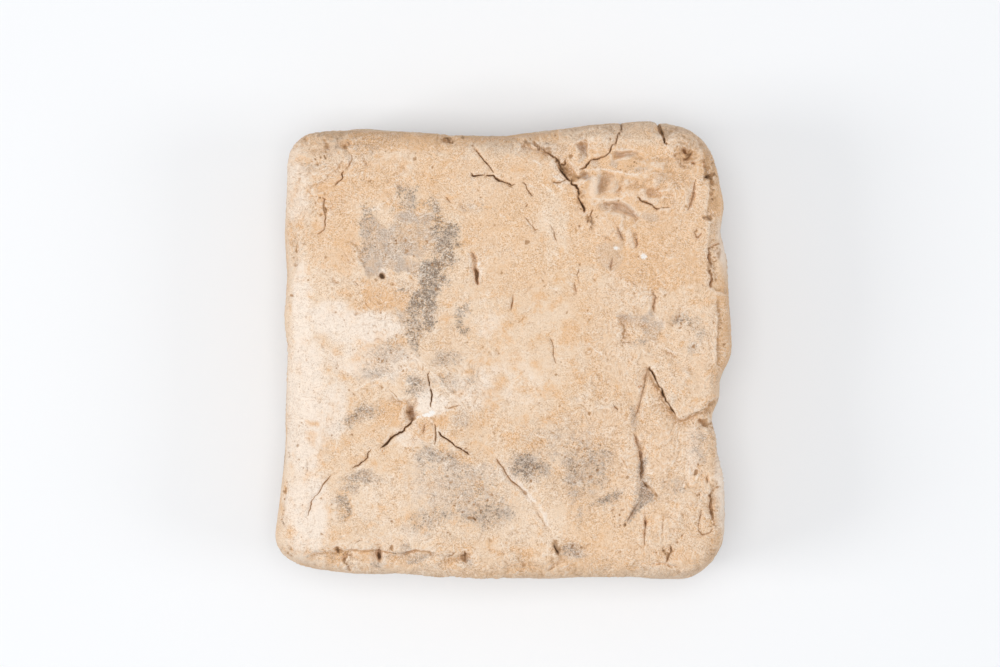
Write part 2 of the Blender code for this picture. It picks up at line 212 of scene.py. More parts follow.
# Broad grooves and soft folds: half width, depth, then x and y of the points along them
GROOVES = (
    (.34, .5, -4.4, 13.5, -3.8, 12.3, -3.9, 11.3, -3.6, 10.6, -3.5, 9.3),
    (.3, .14, -1.3, -14, .7, -17, 2.2, -18.4, 4.2, -21, 7, -25.8),
    (.38, .35, 17.9, -11.5, 18.4, -12.6, 18.8, -15.5, 18.8, -17.3, 19.4, -18.6),
    (.16, .25, 19.2, -21.4, 19.3, -23.4, 19.1, -26), (.12, .12, 21.5, -21.3, 21.6, -24.7),
    (.35, .28, 15.2, 17, 16.3, 15.2, 16.2, 14.2), (.3, .22, 17.4, 16.6, 18, 15.3, 18.1, 13.9),
    (.25, .18, 14.9, 12.9, 14.6, 11), (.45, .28, 19.6, -2.9, 18.2, -8.3, 17.6, -9.8),
    (.25, .15, -12.2, 5.6, -11.6, 7.2, -10.8, 8.5), (.3, .2, 26, 23, 25.8, 21, 25, 19.1),
    (.35, .2, 20.2, 8.1, 20.7, 7, 20.4, 5.3), (.5, .22, 16.8, 27.6, 18.3, 26.2, 19.6, 25.6),
    (.4, .25, 21.9, 22.6, 20.6, 21.6, 18.9, 21.3), (.3, .18, 9.9, 9.5, 9.8, 8.4, 10.1, 7.4),
)

# Wedge marks pressed by a stylus: tip, middle of the head, half width of the head, depth
WEDGES = (
    (11.6, 25.9, 10.6, 28.3, .9, 1.3), (13.2, 20.9, 14.2, 24.1, 1.2, .6), (18.7, 17.8, 15.2, 19.7, .9, .8),
    (18.6, 26.9, 15, 26.5, .6, .7), (21.4, 3, 15.9, 4.2, 1.1, .6), (22.6, 21, 19.6, 21.4, .8, .4),
    (16.6, -23.5, 19.7, -18.7, 1.1, .7),
)

# Hollows: centre x and y, half length, half width, turn in degrees, depth
HOLLOWS = (
    (8.7, 24.5, 1.5, .8, -48, .8), (11.1, 23.75, .62, .5, 0, .7), (-12.6, -8.1, 1.4, .6, 80, .6),
    (-12, -8.6, .8, .35, 15, .5), (-10.3, -9.4, 1.9, 1.5, 0, .4), (-16.3, 10.3, .5, .45, 0, .3),
    (19.4, -19, 1.2, .5, -40, .4), (-16.8, -27.8, .95, .42, 95, 1.5), (-17.1, -28.2, .9, .7, 80, .4),
    (9.2, -26.6, 1.6, 1, -15, .3), (-5.1, -28, .9, .7, 40, .5), (3, -27, 2.2, 2.4, 0, .45),
    (-7.2, -28.6, 1.3, .6, 20, .5), (24.8, 26.4, 1.5, 1.1, -35, .5), (27.2, -9.9, 1, .6, -30, .25),
    (-24.5, 26, 3.4, 2.4, 30, .3), (-21.9, 28.1, .8, .6, 0, .5), (-7.6, 28.8, 1, .4, 0, .5),
    (-23, 9.6, .3, .5, 20, .2), (15, -20, 1.6, .8, 10, .3), (-21.5, -21.5, .9, 1.4, 20, .2),
    (-19.5, -17.3, 1.6, .9, 10, .2), (7.6, -28.4, 1.5, 1, 0, .4), (28.2, -21.8, .8, 2.6, 0, .15),
    (22.2, 30, 1.4, .8, 0, .5), (-21.5, -28.3, 1.6, .9, 0, .35), (-28.4, 14, .6, 2.4, 0, .3),
)

# Dirt and rubble, and painted shade in some hollows of the marks: centre x and y, half length, half width,
# turn in degrees, strength
DIRT_AND_SHADE = (
    (-16.3, 10.2, .32, .28, 100, .9), (8.6, 24.6, 1.7, .8, -48, .6), (7, 26.3, 1.2, .5, -40, .45),
    (10.3, 21.4, .3, 1, -10, .4), (11.9, 17.6, .5, 1, 20, .6), (11.1, 23.75, .6, .5, 0, .5),
    (-12.6, -8.4, 1.1, .4, 80, .3), (-12.2, -9.1, .5, .3, 35, .6), (5.4, 27.4, 2, .35, -32, .45),
    (3.2, 28.3, 1, .25, -10, .5), (-3.7, 10.6, .3, 1.2, 5, .4), (-16.8, -27.8, .8, .3, 95, .9),
    (25.4, 26, .8, .3, -35, .4), (27.6, 24.3, .3, 1.4, 0, .3), (29, 19.6, .4, 1, 0, .25),
    (29.2, 13, .4, 1.2, 0, .35), (27.6, 18, .8, .3, -20, .6), (18.5, -13.8, .3, 1.2, 8, .25),
    (19.6, -18.4, 1.1, .2, -45, .5), (-21.9, 28.1, .6, .4, -30, .5), (27.4, -10, 1, .3, -50, .35),
    (13.3, 22.7, .25, 1.2, -10, .35), (10.7, 27.4, .5, .9, -20, .42), (-5, -28, .6, .8, 30, .5),
    (28.1, 11, .35, 2.4, 5, .4), (10.5, 20, .5, 1.6, -25, .35), (28.4, -21.9, .25, 1.2, 0, .4),
    (12.1, 17.4, .4, 1.8, 0, .35), (7.2, -27.2, .5, 1.1, 15, .5), (-7.6, 28.7, 1, .35, 0, .5),
    (20.3, -3.2, .25, 1.4, -60, .3),
)

# Places that crumble: centre x and y, half length, half width, turn in degrees, number of small pits
CRUMBLING = (
    (24.8, 26.3, 1.9, 1.2, -35, 34), (28.4, 24, .9, 3.6, 0, 44), (26.8, 16, .9, .8, 0, 14),
    (28.5, 12, .7, 3.4, 0, 36), (27.6, -10, 1.1, 1.3, -40, 20), (28.6, -21, .8, 3.8, 0, 36),
    (7.6, 25.8, 2, .7, -45, 34), (3.4, 28.4, 1.8, .5, -10, 18), (12, 17.4, .8, 1.5, 0, 16),
    (-24.6, 20, .9, 1.8, 0, 20), (-25.4, 26.4, 1.9, 1.3, 0, 16), (-21.8, -27.4, 2.6, .8, 0, 20),
    (10.7, 20.6, .5, 1.8, 0, 16), (22, -27.4, 1.5, 1.5, 0, 16), (24.6, 3.4, 1.8, 1.1, 0, 20),
    (-12.6, -8, .5, 1.2, 0, 12), (18.8, -15, .4, 2.6, 0, 20), (26.4, -15, .7, 5, 0, 20),
    (11, -15, 3, 3.4, 0, 36), (-3, -21, 4, 2, 0, 30), (15.4, -23.6, 1.6, 2.6, 0, 22),
    (-13.4, 12.5, 4, 4, 0, 26), (3, -15.8, 2.4, 1.6, 0, 14), (29.6, 3, .7, 3.6, 0, 16),
    (-28, 13, .5, 3, 0, 14), (-14, -1, 4, 2, 20, 20), (9.4, -27, 1.4, 1, 0, 14), (17, 25, 2, 1, 0, 12),
)

# Scratched places: centre x and y, half length, half width, direction in degrees, number of scratches
SCRATCHED = (
    (-10, -3, 6, 3.5, -48, 60), (-16, -2.6, 5, 2.5, 22, 60), (-2, -18, 7, 5, 62, 50),
    (20, -19, 4, 5, 58, 60), (-24, -6, 4, 10, 80, 60), (-17, 4, 7, 3, 0, 40), (23, -9, 3, 5, 72, 36),
    (15, 23, 8, 5, 8, 50), (5, 24, 3, 3, -30, 26), (-14, 15, 5, 5, 30, 30), (25, -14, 2, 6, 86, 30),
    (-20, 22, 7, 5, 10, 40), (10, 4, 10, 10, -20, 50),
)

# Edges of broken layers: drop, reach of the lower ground, then points. The lower side is on the right of
# a walk along the points
LEDGES = (
    (.28, 4, 31.5, 7.6, 29, 8, 28.4, 8.8, 28.6, 9.8, 28.1, 12.4, 27.6, 13.8, 28.3, 17.7, 27.4, 18.4, 27.9,
     21, 27.3, 26.6, 26.6, 28, 26.4, 31), (.3, 2, 28.9, -24.3, 28.1, -21.2, 28.2, -19.2, 27.9, -17),
    (.9, 2.6, 19.8, -1.7, 19.9, -2.6, 21.6, -5.3, 22.1, -6.8, 23.8, -8.9, 24.6, -8.9, 27, -8, 28.8, -6.6,
     31, -6), (.9, 1.3, -12.6, -9.8, -12.9, -9.2, -13, -7.8, -13.5, -7),
    (.35, 3, -15.6, -5.1, -14.1, -6.8, -13, -6.8, -12.9, -7.3),
    (.26, 3, -17.2, 9.8, -17.7, 9.9, -18.2, 10.4, -19.7, 12.9, -20, 13.9, -20.5, 14.5, -21.7, 14.5),
    (.55, 2.5, -27, -28, -24.8, -27.2, -23.1, -27.2, -20.8, -26.8, -17.3, -26.9, -15.5, -27.4, -13.5, -27.6,
     -11.9, -27, -8.5, -27.3), (.8, 1, 14.9, 27.1, 17.2, 27.2, 18.4, 27), (1, 2.2, 12.7, 20.9, 13.2, 24),
    (.7, 1.8, 15.1, 20.9, 15.7, 23.2), (.9, 1.6, 12.9, 20.2, 14, 20.3, 16.4, 20.1, 18, 18.8, 18.9, 17.8),
    (.5, 1.2, 21.4, .6, 24.1, -.8), (.9, 2.4, 2.2, 28.5, 3.4, 28.4, 5.9, 27.2, 7, 26.3),
    (.5, 1.8, 15.3, 1.1, 16, 1.9, 16.2, 2.6, 15.3, 4.7), (.28, 2, 24.3, 6.8, 24, 5, 23.5, 3.6, 22.6, 2.4),
    (.3, 2, -27.5, 22.8, -25.8, 22.6, -24, 23.5, -22.6, 24.6, -21.8, 26.4),
    (.45, 1.8, 29.3, -3, 29, -1, 28.9, 2, 29, 5, 28.8, 7.6),
)

# Broad swells: centre x and y, half length, half width, turn in degrees, height
SWELLS = (
    (12.3, 21.8, 1, 2.4, -10, .5), (19, 24.2, 2.6, 1.3, 15, .5), (21.5, 22.6, 2, 1, 0, .4),
    (18.6, 21, 2.4, .9, -20, .45), (24, 20.6, 1.4, 2.6, 0, .4), (13.4, 28.6, 1.6, 1.2, 40, .5),
    (14, 17, 1.8, 1.4, 0, .35), (17, 15.6, .9, 1.8, 10, .35), (23.4, 11, 2, 2.6, 0, .3),
    (18.6, 7.4, 1.6, 2, 0, .3), (23.4, -4.6, 2.4, 2.2, -30, .45), (17, -13.4, 1.2, 3, 0, .35),
    (21.6, -12.6, 2, 3, 0, .35), (24.6, -20.6, 2, 2.2, 0, .35), (21.6, -24, 2.6, 1.4, 30, .3),
    (-24.8, -3.6, 2.4, 5, 0, .25), (5.4, 24.8, 3.2, 2, -30, .35), (-9, 25.6, 4, 1.6, 0, .25),
    (-18, 22.6, 4, 2.6, 0, .25), (-13, -19.5, 4.4, 3, 0, .25), (1, -9, 5, 3, 20, .2),
)

# ---------------------------------------------------------------- colour of the face
# Areas: strength, then x and y of their corners. Smooth grey-brown film; the last area is painted shade in
# a shallow stylus mark
FILMS_AND_SHADE = (
    (1, -14.4, 18.6, -12, 18.9, -9.8, 18.5, -9.6, 17.4, -11, 16.9, -14.6, 17.4),
    (.9, -19.5, 18, -17.8, 18.4, -17, 17.2, -15.6, 17, -14.6, 16, -15, 14.6, -14.5, 13.2, -11, 11.5, -12,
     10.3, -16, 11.3, -17.6, 9.9, -18.6, 10.4, -19.8, 13.3, -19.4, 15),
    (.75, -15.6, 16.8, -13.2, 17.2, -9.4, 16.9, -9, 14.6, -10.4, 12.6, -14, 12.6, -16, 14.5),
    (.8, -14.3, 5.6, -12.8, 5.5, -11.4, 4.9, -11.5, 4.2, -13.8, 4),
    # painted shade in a shallow stylus mark
    (.8, 15.5, 4.8, 20.5, 5.2, 21.5, 3, 20.8, .8, 18.5, 3.4, 16.2, 4),
)

# Painted shade on the facets of the marks that turn away from the light: darker areas that keep a crisp
# edge
SHADED_FACETS = (
    (.7, 12.8, 23.9, 13.7, 24, 13.3, 21.1, 12.6, 20.9),
    (.6, 15.2, 23.2, 15.8, 23.1, 15.5, 21.2, 14.9, 21.4),
    (.35, 13.7, 24, 15.2, 23.8, 14.9, 21.4, 13.4, 21.2),
    (.7, 12.8, 19.9, 15, 20.1, 17, 19.9, 18.9, 18, 17.6, 18.2, 15.6, 18.9, 13.2, 19.1),
    (.6, 19, 18.9, 21, 18.6, 21.6, 17.6, 19.6, 17.4, 18.8, 18),
    (.8, 9.7, 28.3, 11.2, 28, 11.4, 26.4, 10.6, 25.4, 10, 25.6, 10.4, 26.8),
    (.75, 15, 27, 18.4, 26.9, 17.6, 26.3, 15.2, 26.4), (.9, 14.4, 25.8, 15.6, 25.6, 15.5, 24.7, 14.4, 24.9),
    (.8, 11.8, 26, 12.9, 25.8, 13, 25.2, 11.9, 24.8),
    (.5, 4.5, 28.4, 9, 28, 8.8, 26.6, 6.5, 26.6, 4.6, 27.7),
    (.45, 20.2, 24.4, 22.2, 24.2, 22.4, 22.9, 20.6, 22.7),
    (.5, 12.8, 14.8, 15.8, 14.6, 16.4, 12.4, 15.2, 10.6, 13.4, 11.2, 12.4, 13),
    (.5, 15.4, 16.8, 16.3, 15.4, 16.2, 13.8, 15.8, 14.2, 15.2, 16),
    (1, 18.7, -17.8, 20.6, -19.5, 19.6, -20.7, 18.6, -21.4, 16.7, -23.4, 18, -20.6, 18.6, -19),
    (.6, 7.8, -26.8, 8.7, -25.8, 10.2, -25.9, 10.9, -27, 10.2, -27.8),
    (.5, -13, -6.9, -12.2, -7, -11.8, -8.8, -12.8, -9.6, -13.2, -8.4),
)

# Soft smudges, some of them painted shade under the ledge at the lower edge and in the gouge on the right:
# centre x and y, half length, half width, turn in degrees, film, soot
SMUDGES_AND_SHADE = (
    (-14.5, 14.6, 4.6, 2.2, 0, .5, .32), (-18.5, 16.6, 1, 2.6, 0, .6, .6),
    (-13.2, 19.4, 2.2, .7, 0, .6, .55), (-16, -.2, 3.4, 1.7, 25, .55, .38),
    (-12.1, 1.2, .6, 1.6, 0, .6, .8), (-8.2, -.8, 2.2, .9, 5, .55, .5),
    (-12.4, -4.4, 1.9, 1.3, -20, .7, .8), (-8, -3.6, 2, .9, -10, .6, .45),
    (-19.2, -8.6, 2.8, 1, 25, .75, .7), (-17.6, -3, 3, 1.4, 10, .5, .42), (-6.4, -5.3, 2, .9, 0, .5, .3),
    (-6, -9.4, 1.8, 1.3, 0, .45, .2), (-4.3, -3.8, .9, .8, 0, .5, .6), (-8.6, -14.6, 3.4, 1.4, -5, .8, .6),
    (-10.8, -15.6, .6, 2, -8, .6, .55), (-5, -18.4, 7, 4.6, -12, .52, .35),
    (-2.4, -22, 4, 1.8, 0, .65, .58), (-9.6, -22.8, 3.6, 1.5, 15, .6, .5),
    (3.4, -15.8, 2.5, 1.6, -35, .8, .85), (-19, -17.2, 2.6, 1.1, 5, .8, .68),
    (-20.6, -19.4, 1.6, .8, 0, .7, .7), (-21.7, -21.4, .9, 1.4, -20, .7, .7),
    (9.4, -16, 1.6, 3.8, 5, .75, .5), (12, -15, 2.6, 4, 0, .65, .48), (14.4, -19.9, 2.5, .9, 26, .7, .72),
    (9.6, -27, 1.7, 1.1, -10, .8, .6), (10.9, -22.4, .7, 2, 0, .5, .45), (17.7, -9, .6, 1.2, -15, .8, .5),
    (26.9, -12.6, .8, 3.4, 0, .6, .35), (24.6, 4, 1.8, 1, 0, .6, .6), (26.6, 2.8, .7, 2, 0, .5, .4),
    (25.8, .2, .6, 1.6, 0, .5, .4), (18.4, 1.2, 1.8, .6, 30, .5, .5), (19, 24.6, 1.4, .5, 15, .4, .5),
    (-5, -28, .8, .9, 0, .5, .6), (-12.8, -26.9, 1.2, .8, 0, .5, .5), (-17.8, -28.9, 1.6, .6, 0, .5, .45),
    (-25.4, 25, 2, 1, 0, .5, .3), (22.9, -18.8, 1.6, 1.8, 0, .45, .3), (-20.4, 26.8, 4, 1.4, 0, .4, .25),
    # the last smudge here is painted shade under the ledge at the lower edge
    (-3.6, 19.6, 2.6, .9, -8, .45, .32), (8, -13.6, 6, 5, 0, .3, .25), (-12, -27.9, 4.6, .5, 0, .8, .5),
    # painted shade in the gouge on the right
    (18.9, -15.8, .6, 2.1, 0, .8, .75), (19.3, -17.6, 1.1, .8, -20, .7, .6),
    (11.1, 23.7, .8, .6, 0, .9, .3),
)

# Dark speckled soot; the first area is painted shade in the gouge on the right
SOOTS_AND_SHADE = (
    # painted shade in the gouge on the right
    (.6, 18.8, -17.8, 20.6, -19.4, 19.4, -20.8, 16.8, -23.4, 18.2, -20.4, 18.6, -19),
    (.75, -14.2, 21.8, -13, 22, -12, 21.6, -11.6, 20.8, -11.9, 20, -14.2, 20.8),
    (.55, -15, 19.6, -11.2, 19.7, -11, 19.2, -15.2, 18.9),
    (.75, -18.8, 19.4, -17.5, 19.2, -18.3, 18, -19.2, 18.3),
    (.75, -9.9, 20.4, -9, 20.4, -8.3, 17.4, -9.6, 17.4),
    (.85, -9.5, 17.1, -6.4, 17.2, -6.1, 16.2, -7, 14.8, -5.9, 14.5, -6.2, 14.1, -7.2, 13.9, -6.6, 12.6,
     -6.8, 11.8, -8, 12, -9.3, 13, -8.7, 15, -9.6, 16),
    (1, -11.2, 11.9, -8.9, 11.9, -8.2, 12.6, -8, 11.4, -8.8, 10, -7.6, 9.5, -7.5, 8.9, -10.8, 8.6, -11.4,
     9.4, -10.9, 10.4),
    (1, -11.9, 8, -10.2, 8.6, -9.2, 8.6, -9, 7.8, -9.3, 7, -9, 6.1, -9.5, 5.4, -9.6, 4.3, -9, 4.1, -10.3, 3,
     -10.7, 3.3, -10.2, 6, -10.6, 7, -11.2, 4.8, -12, 4.6, -12.4, 5.5),
    (.75, -14.4, 8.7, -12.9, 8.2, -13.1, 7.9, -14.2, 8.3),
    (.75, -13, 3.9, -11.6, 4.2, -11.2, 2.6, -11.5, 1.6, -12.4, 1.6, -12.2, 2.8),
    (.8, -6.6, 4.8, -5.9, 5.1, -5.2, 4.5, -5.2, 3.3, -5.6, 2.8),
    (.75, -6.3, 6, -4.7, 6.6, -4.6, 6.1, -5.2, 5),
    (.5, -19.2, 16.9, -18.2, 16.4, -18, 13.5, -18.9, 12, -19.4, 14),
)

# Brighter orange-brown clay; the area along the upper edge also paints that edge's shade
OCHRES_AND_SHADE = (
    (.42, 9, -8, 28, -7, 28, -26, 8, -26), (.32, 8, 9, 29, 9, 29.6, -6, 12, -5),
    (.9, -25.5, 22.3, -23.5, 23.8, -21.5, 24.3, -20.9, 22.5, -23, 18.5, -24.8, 18.8, -25.6, 21),
    (.7, -25.5, 16, -22, 15.8, -20.3, 14.4, -21, 13, -24, 14.6),
    # the first area here also paints the shade of the upper edge
    (1, -22, 30, 4, 30, 8, 31, 8, 29, -12, 27, -21, 26.8), (.5, 7.5, -24.9, 20, -25.6, 20, -30, 7.5, -30),
    (.6, 16.3, 26.3, 18.3, 26.3, 18.3, 24, 16.3, 24.1),
    (.8, -19.5, 9, -16, 9, -12.6, 7.8, -12.4, 5.6, -16, 5.4, -19.4, 5.8),
    (.9, -16.8, -6.8, -13, -6.8, -13, -9.5, -14, -10.6, -17.5, -10),
    (.9, -12, -9.2, -10, -9.4, -9.2, -11, -10, -12.5, -12.5, -12),
    (1, -9.2, -8.6, -8.2, -8.7, -7.4, -9.6, -7.5, -10.5, -8.6, -10.3, -9.4, -9.4),
    (1, -24.8, -27.2, -20.8, -26.8, -21, -28, -22.6, -29.2, -24, -28.8),
    (.9, -20, -27.2, -17.6, -27.1, -17.5, -28.5, -19.5, -28.3),
    (.5, -16, -27.8, -9, -27.6, -9, -29.4, -16, -29.6),
    (.8, -7.9, -28.3, -6.1, -28.3, -6.2, -29.5, -7.8, -29.5), (.7, 7.5, 4.2, 10.2, 4.1, 10.3, .9, 7.6, .9),
    (.9, 27.2, -6.4, 29.2, -6.2, 29, -8.2, 27, -8.1),
    (.8, 23.6, 27.9, 26, 27.6, 26.4, 25.4, 24, 25.2, 23.2, 26.4),
    (.8, 26.6, 28, 31, 27, 31.4, 18, 28, 17.6), (.3, 28, 17, 32, 17, 32, 8.6, 28.2, 8.8),
    (1, 29.6, 8, 32.4, 8, 32.4, -2.4, 30, -1.4, 29.3, 3),
    (.6, 20, -26.6, 24.4, -26.4, 26.6, -29, 20.2, -29.4), (.3, 28.2, -15, 32, -15, 31, -27, 28.2, -25),
    (.5, 9.6, 22.4, 12.2, 22.2, 12.6, 17, 10.4, 17), (.35, 21, 19, 26, 18.6, 26, 9, 21, 9.4),
    (.62, 7, 28.4, 27, 28, 28.6, 9, 20, 8, 9, 12), (.45, -12, 26.4, 5, 26.4, 6, 8, -4, 7, -6, 18, -12, 22),
    (.5, -26, 25, -13, 26.4, -12, 21, -20, 20, -20, 10, -26, 11),
    (.8, -27, -9.2, -24.8, -9, -24.8, -10.2, -26.6, -10.3),
    (.6, -27, -10.9, -25, -11.1, -25, -12.6, -27, -12.7),
)

# Pale hazy clay, and painted light: some ovals are painted highlights on the ridges of the marks and on the
# lit wall of a groove, and those along the left edge also paint the light that falls on it. Centre x and y,
# half length, half width, turn in degrees, strength
HAZES_AND_HIGHLIGHTS = (
    # along the left edge: pale haze, and painted light on that edge
    (-27, -8, 3.4, 12, 0, .85), (-26.5, -22, 3.5, 7, 0, .8), (-27.3, 5, 1.6, 8, 0, .9),
    (-19, 3.2, 7.5, 2.6, -3, .8), (-18, -1.5, 8, 3.2, -6, .6), (-23, -8, 2.4, 5, 0, .7),
    (-10, -7.2, 2.6, 1.8, 0, .9), (-4, -5.5, 4.5, 3, 0, .6), (0, -4, 8, 5, -10, .45),
    (-13, -12, 2.5, 1.8, -20, .6), (-2, 3.6, 2.8, 2.2, 0, .5), (-5.5, 6, 1.6, 2, 0, .5),
    (-8, -12, 4, 2, -30, .4), (-7, -18, 9, 4.5, 0, .45), (14, 13, 4, 2.5, 0, .3), (-13, -25, 4, 1.8, 0, .4),
    (13, -13, 5, 4, 0, .35), (17, 22.5, 4.5, 2, 10, .35), (-28, 22, 2, 7, 0, .6), (22, -14, 4, 5, 0, .35),
    # the first oval here is a painted highlight on the lit wall of a groove
    (-3.3, 11, .3, 1.4, 5, .9), (-23.5, 4.3, 3, 2.4, 0, .85), (17.5, 23.2, 1, 1.4, 0, .4),
    (-16.3, 10.4, .9, .8, 0, .8), (18, -19, .5, 1.2, 0, .6), (3.4, -19.8, 4.6, .3, -54, 1),
    # painted highlights on the ridges of the marks
    (16, 24.1, 4.2, .4, 4, .42), (14.6, 20.6, 3, .4, 4, .42), (12.1, 22.4, .35, 1.6, 8, .45),
    (25.6, -13.5, 1.1, 4, 0, .7), (21.4, 3.4, .4, 2, 25, .7), (-16, -21, 6, 3, 0, .35),
    (30.2, -18, 1.6, 8.5, 0, .9), (30.4, 14, 1.3, 3.6, 0, .8),
)

# White mineral crust: as for the hazes
MINERALS = (
    (-10.2, -8.7, .95, .28, 8, 1), (-9.6, -8.4, .5, .34, 20, 1), (-11.2, -8.9, .7, .2, 12, .7),
    (15.2, 13.9, .32, .24, -20, .9), (19.1, 12.8, .55, .42, -30, .9), (-3.35, 11.7, .15, .4, 10, .8),
    (11.6, .9, .22, .22, 0, .6), (9.15, -4.5, .18, .18, 0, .6),
)

# ---------------------------------------------------------------- noise
NOISE_GAIN = 1.6
FLAT_NOISE_GAIN = 1.8
SLOPE_COUNT = 256
generator = np.random.default_rng(11)
SLOPES = generator.normal(size=(SLOPE_COUNT, 3)).astype(np.float32)
SLOPES /= np.linalg.norm(SLOPES, axis=1, keepdims=True)
SHUFFLED = generator.permutation(SLOPE_COUNT)


def noise(points, size, seed=0):
    """Smooth noise in space from about -1 to 1, with bumps roughly size millimetres across."""
    scaled = (points / size + seed * 13.7).astype(np.float32)
    cell = np.floor(scaled).astype(np.int64)
    inside = scaled - cell
    fade = inside**3 * (inside * (inside * 6 - 15) + 10)
    total = np.zeros(len(points), np.float32)
    for corner in itertools.product((0, 1), repeat=3):
        x, y, z = ((cell + corner) % SLOPE_COUNT).T
        pick = SHUFFLED[(SHUFFLED[(SHUFFLED[x] + y) % SLOPE_COUNT] + z) % SLOPE_COUNT]
        slope = (SLOPES[pick] * (inside - np.array(corner, np.float32))).sum(axis=1)
        weight = np.where(corner, fade, 1 - fade).prod(axis=1)
        total += slope * weight
    return total * NOISE_GAIN


def layered(points, size, octaves, seed=0):
    return sum(noise(points, size / 2**n, seed + 3.1 * n) / 2**n for n in range(octaves))


def smooth(low, high, value):
    share = np.clip((value - low) / (high - low), 0, 1)
    return share * share * (3 - 2 * share)


def spline_weights(size):
    """The share that each point of a lattice with this spacing has in each cell of AXIS."""
    place = (AXIS + REACH) / size
    first = np.floor(place).astype(int)
    t = place - first
    shares = ((1 - t) ** 3, 3 * t**3 - 6 * t**2 + 4, 1 + 3 * t + 3 * t**2 - 3 * t**3, t**3)
    weights = np.zeros((len(AXIS), first[-1] + 4))
    for step, share in enumerate(shares):
        weights[np.arange(len(AXIS)), first + step] = share / 6
    return weights


def flat_noise(seed, size, size_y=None):
    """Smooth noise over the face, half a unit either way, with bumps about size mm across."""
    across, up = spline_weights(size), spline_weights(size_y or size)
    lattice = np.random.default_rng(seed).uniform(-1, 1, (up.shape[1], across.shape[1]))
    return FLAT_NOISE_GAIN * up @ lattice @ across.T


def flat_layers(seed, size, octaves):
    return sum(flat_noise(seed + n, size / 2**n) / 2**n for n in range(octaves))


def blurred(raster, size):
    """The raster with each cell replaced by the average of those within about size millimetres."""
    weights = np.exp(-(((AXIS[:, None] - AXIS) / size) ** 2))
    weights /= weights.sum(axis=1, keepdims=True)
    return weights @ raster @ weights.T


def at_points(raster, x, y):
    """The raster's value at each x and y."""
    column, row = (x + REACH) / CELL, (y + REACH) / CELL
    left = np.clip(column.astype(int), 0, len(AXIS) - 2)
    below = np.clip(row.astype(int), 0, len(AXIS) - 2)
    right_share, upper_share = column - left, row - below
    lower = raster[below, left] * (1 - right_share) + raster[below, left + 1] * right_share
    above = below + 1
    upper = raster[above, left] * (1 - right_share) + raster[above, left + 1] * right_share
    return lower * (1 - upper_share) + upper * upper_share


# ---------------------------------------------------------------- plain cushion
def cube_grid(steps):
    """Points from -1 to 1 and quads of a cube that is divided into steps along x, y and z."""
    quads = []
    for axis in range(3):
        first, second = (axis + 1) % 3, (axis + 2) % 3
        u, v = np.meshgrid(np.arange(steps[first]), np.arange(steps[second]), indexing="ij")
        for end in (0, steps[axis]):
            ring = ((0, 0), (1, 0), (1, 1), (0, 1)) if end else ((0, 0), (0, 1), (1, 1), (1, 0))
            quad = np.zeros((u.size, 4, 3), np.int64)
            quad[:, :, axis] = end
            for corner, (du, dv) in enumerate(ring):
                quad[:, corner, first] = (u + du).ravel()
                quad[:, corner, second] = (v + dv).ravel()
            quads.append(quad)
    lattice = np.concatenate(quads)
    code = (lattice[..., 0] * (steps[1] + 1) + lattice[..., 1]) * (steps[2] + 1) + lattice[..., 2]
    _, first_use, faces = np.unique(code.ravel(), return_index=True, return_inverse=True)
    points = lattice.reshape(-1, 3)[first_use] / np.array(steps) * 2.0 - 1.0
    return points, faces.reshape(-1, 4)


def side_inset(along, knots):
    places, insets = np.array(knots, float).T
    shifts = np.linspace(-SIDE_SOFTNESS, SIDE_SOFTNESS, SIDE_SAMPLES)
    return sum(np.interp(along + shift, places, insets) for shift in shifts) / len(shifts)


def outline(x, y):
    """Points of a square ring with the tablet's half sides, moved onto the tablet's outline."""
    radius = np.zeros_like(x)
    for (sign_x, sign_y), corner_radius in CORNER_RADII.items():
        radius[(x * sign_x >= 0) & (y * sign_y >= 0)] = corner_radius
    past_x = np.maximum(np.abs(x) - (HALF_WIDTH - radius), 0)
    past_y = np.maximum(np.abs(y) - (HALF_HEIGHT - radius), 0)
    reach = np.maximum(np.hypot(past_x, past_y), 1e-9)
    facing_x, facing_y = past_x / reach, past_y / reach
    x = np.sign(x) * (np.abs(x) - past_x + facing_x * radius)
    y = np.sign(y) * (np.abs(y) - past_y + facing_y * radius)
    back_x = np.where(x < 0, side_inset(y, LEFT_SIDE), side_inset(y, RIGHT_SIDE))
    back_y = np.where(y < 0, side_inset(x, LOWER_SIDE), side_inset(x, UPPER_SIDE))
    return x - np.sign(x) * facing_x * back_x, y - np.sign(y) * facing_y * back_y


def rounded_section(depth, z, face_radius):
    """Rounds a section's four edges. depth is the distance in from the side, z the height."""
    low, high = -UNDERSIDE_BULGE, THICKNESS
    middle = (low + high) / 2
    radius = np.where(z > middle, face_radius, UNDERSIDE_EDGE_RADIUS)
    past_side = np.maximum(radius - depth, 0)
    past_face = np.maximum(np.abs(z - middle) - ((high - low) / 2 - radius), 0)
    corner = (past_side > 0) & (past_face > 0)
    reach = np.maximum(np.hypot(past_side, past_face), 1e-9)
    share = np.where(corner, radius / reach, 1.0)
    new_depth = np.where(corner, radius - past_side * share, depth)
    new_z = np.where(corner, z - np.sign(z - middle) * past_face * (1 - share), z)
    slope = (new_z - middle) / ((high - low) / 2)
    return new_depth + SIDE_BULGE * slope**2 * np.exp(-new_depth / FACE_EDGE_RADIUS), new_z


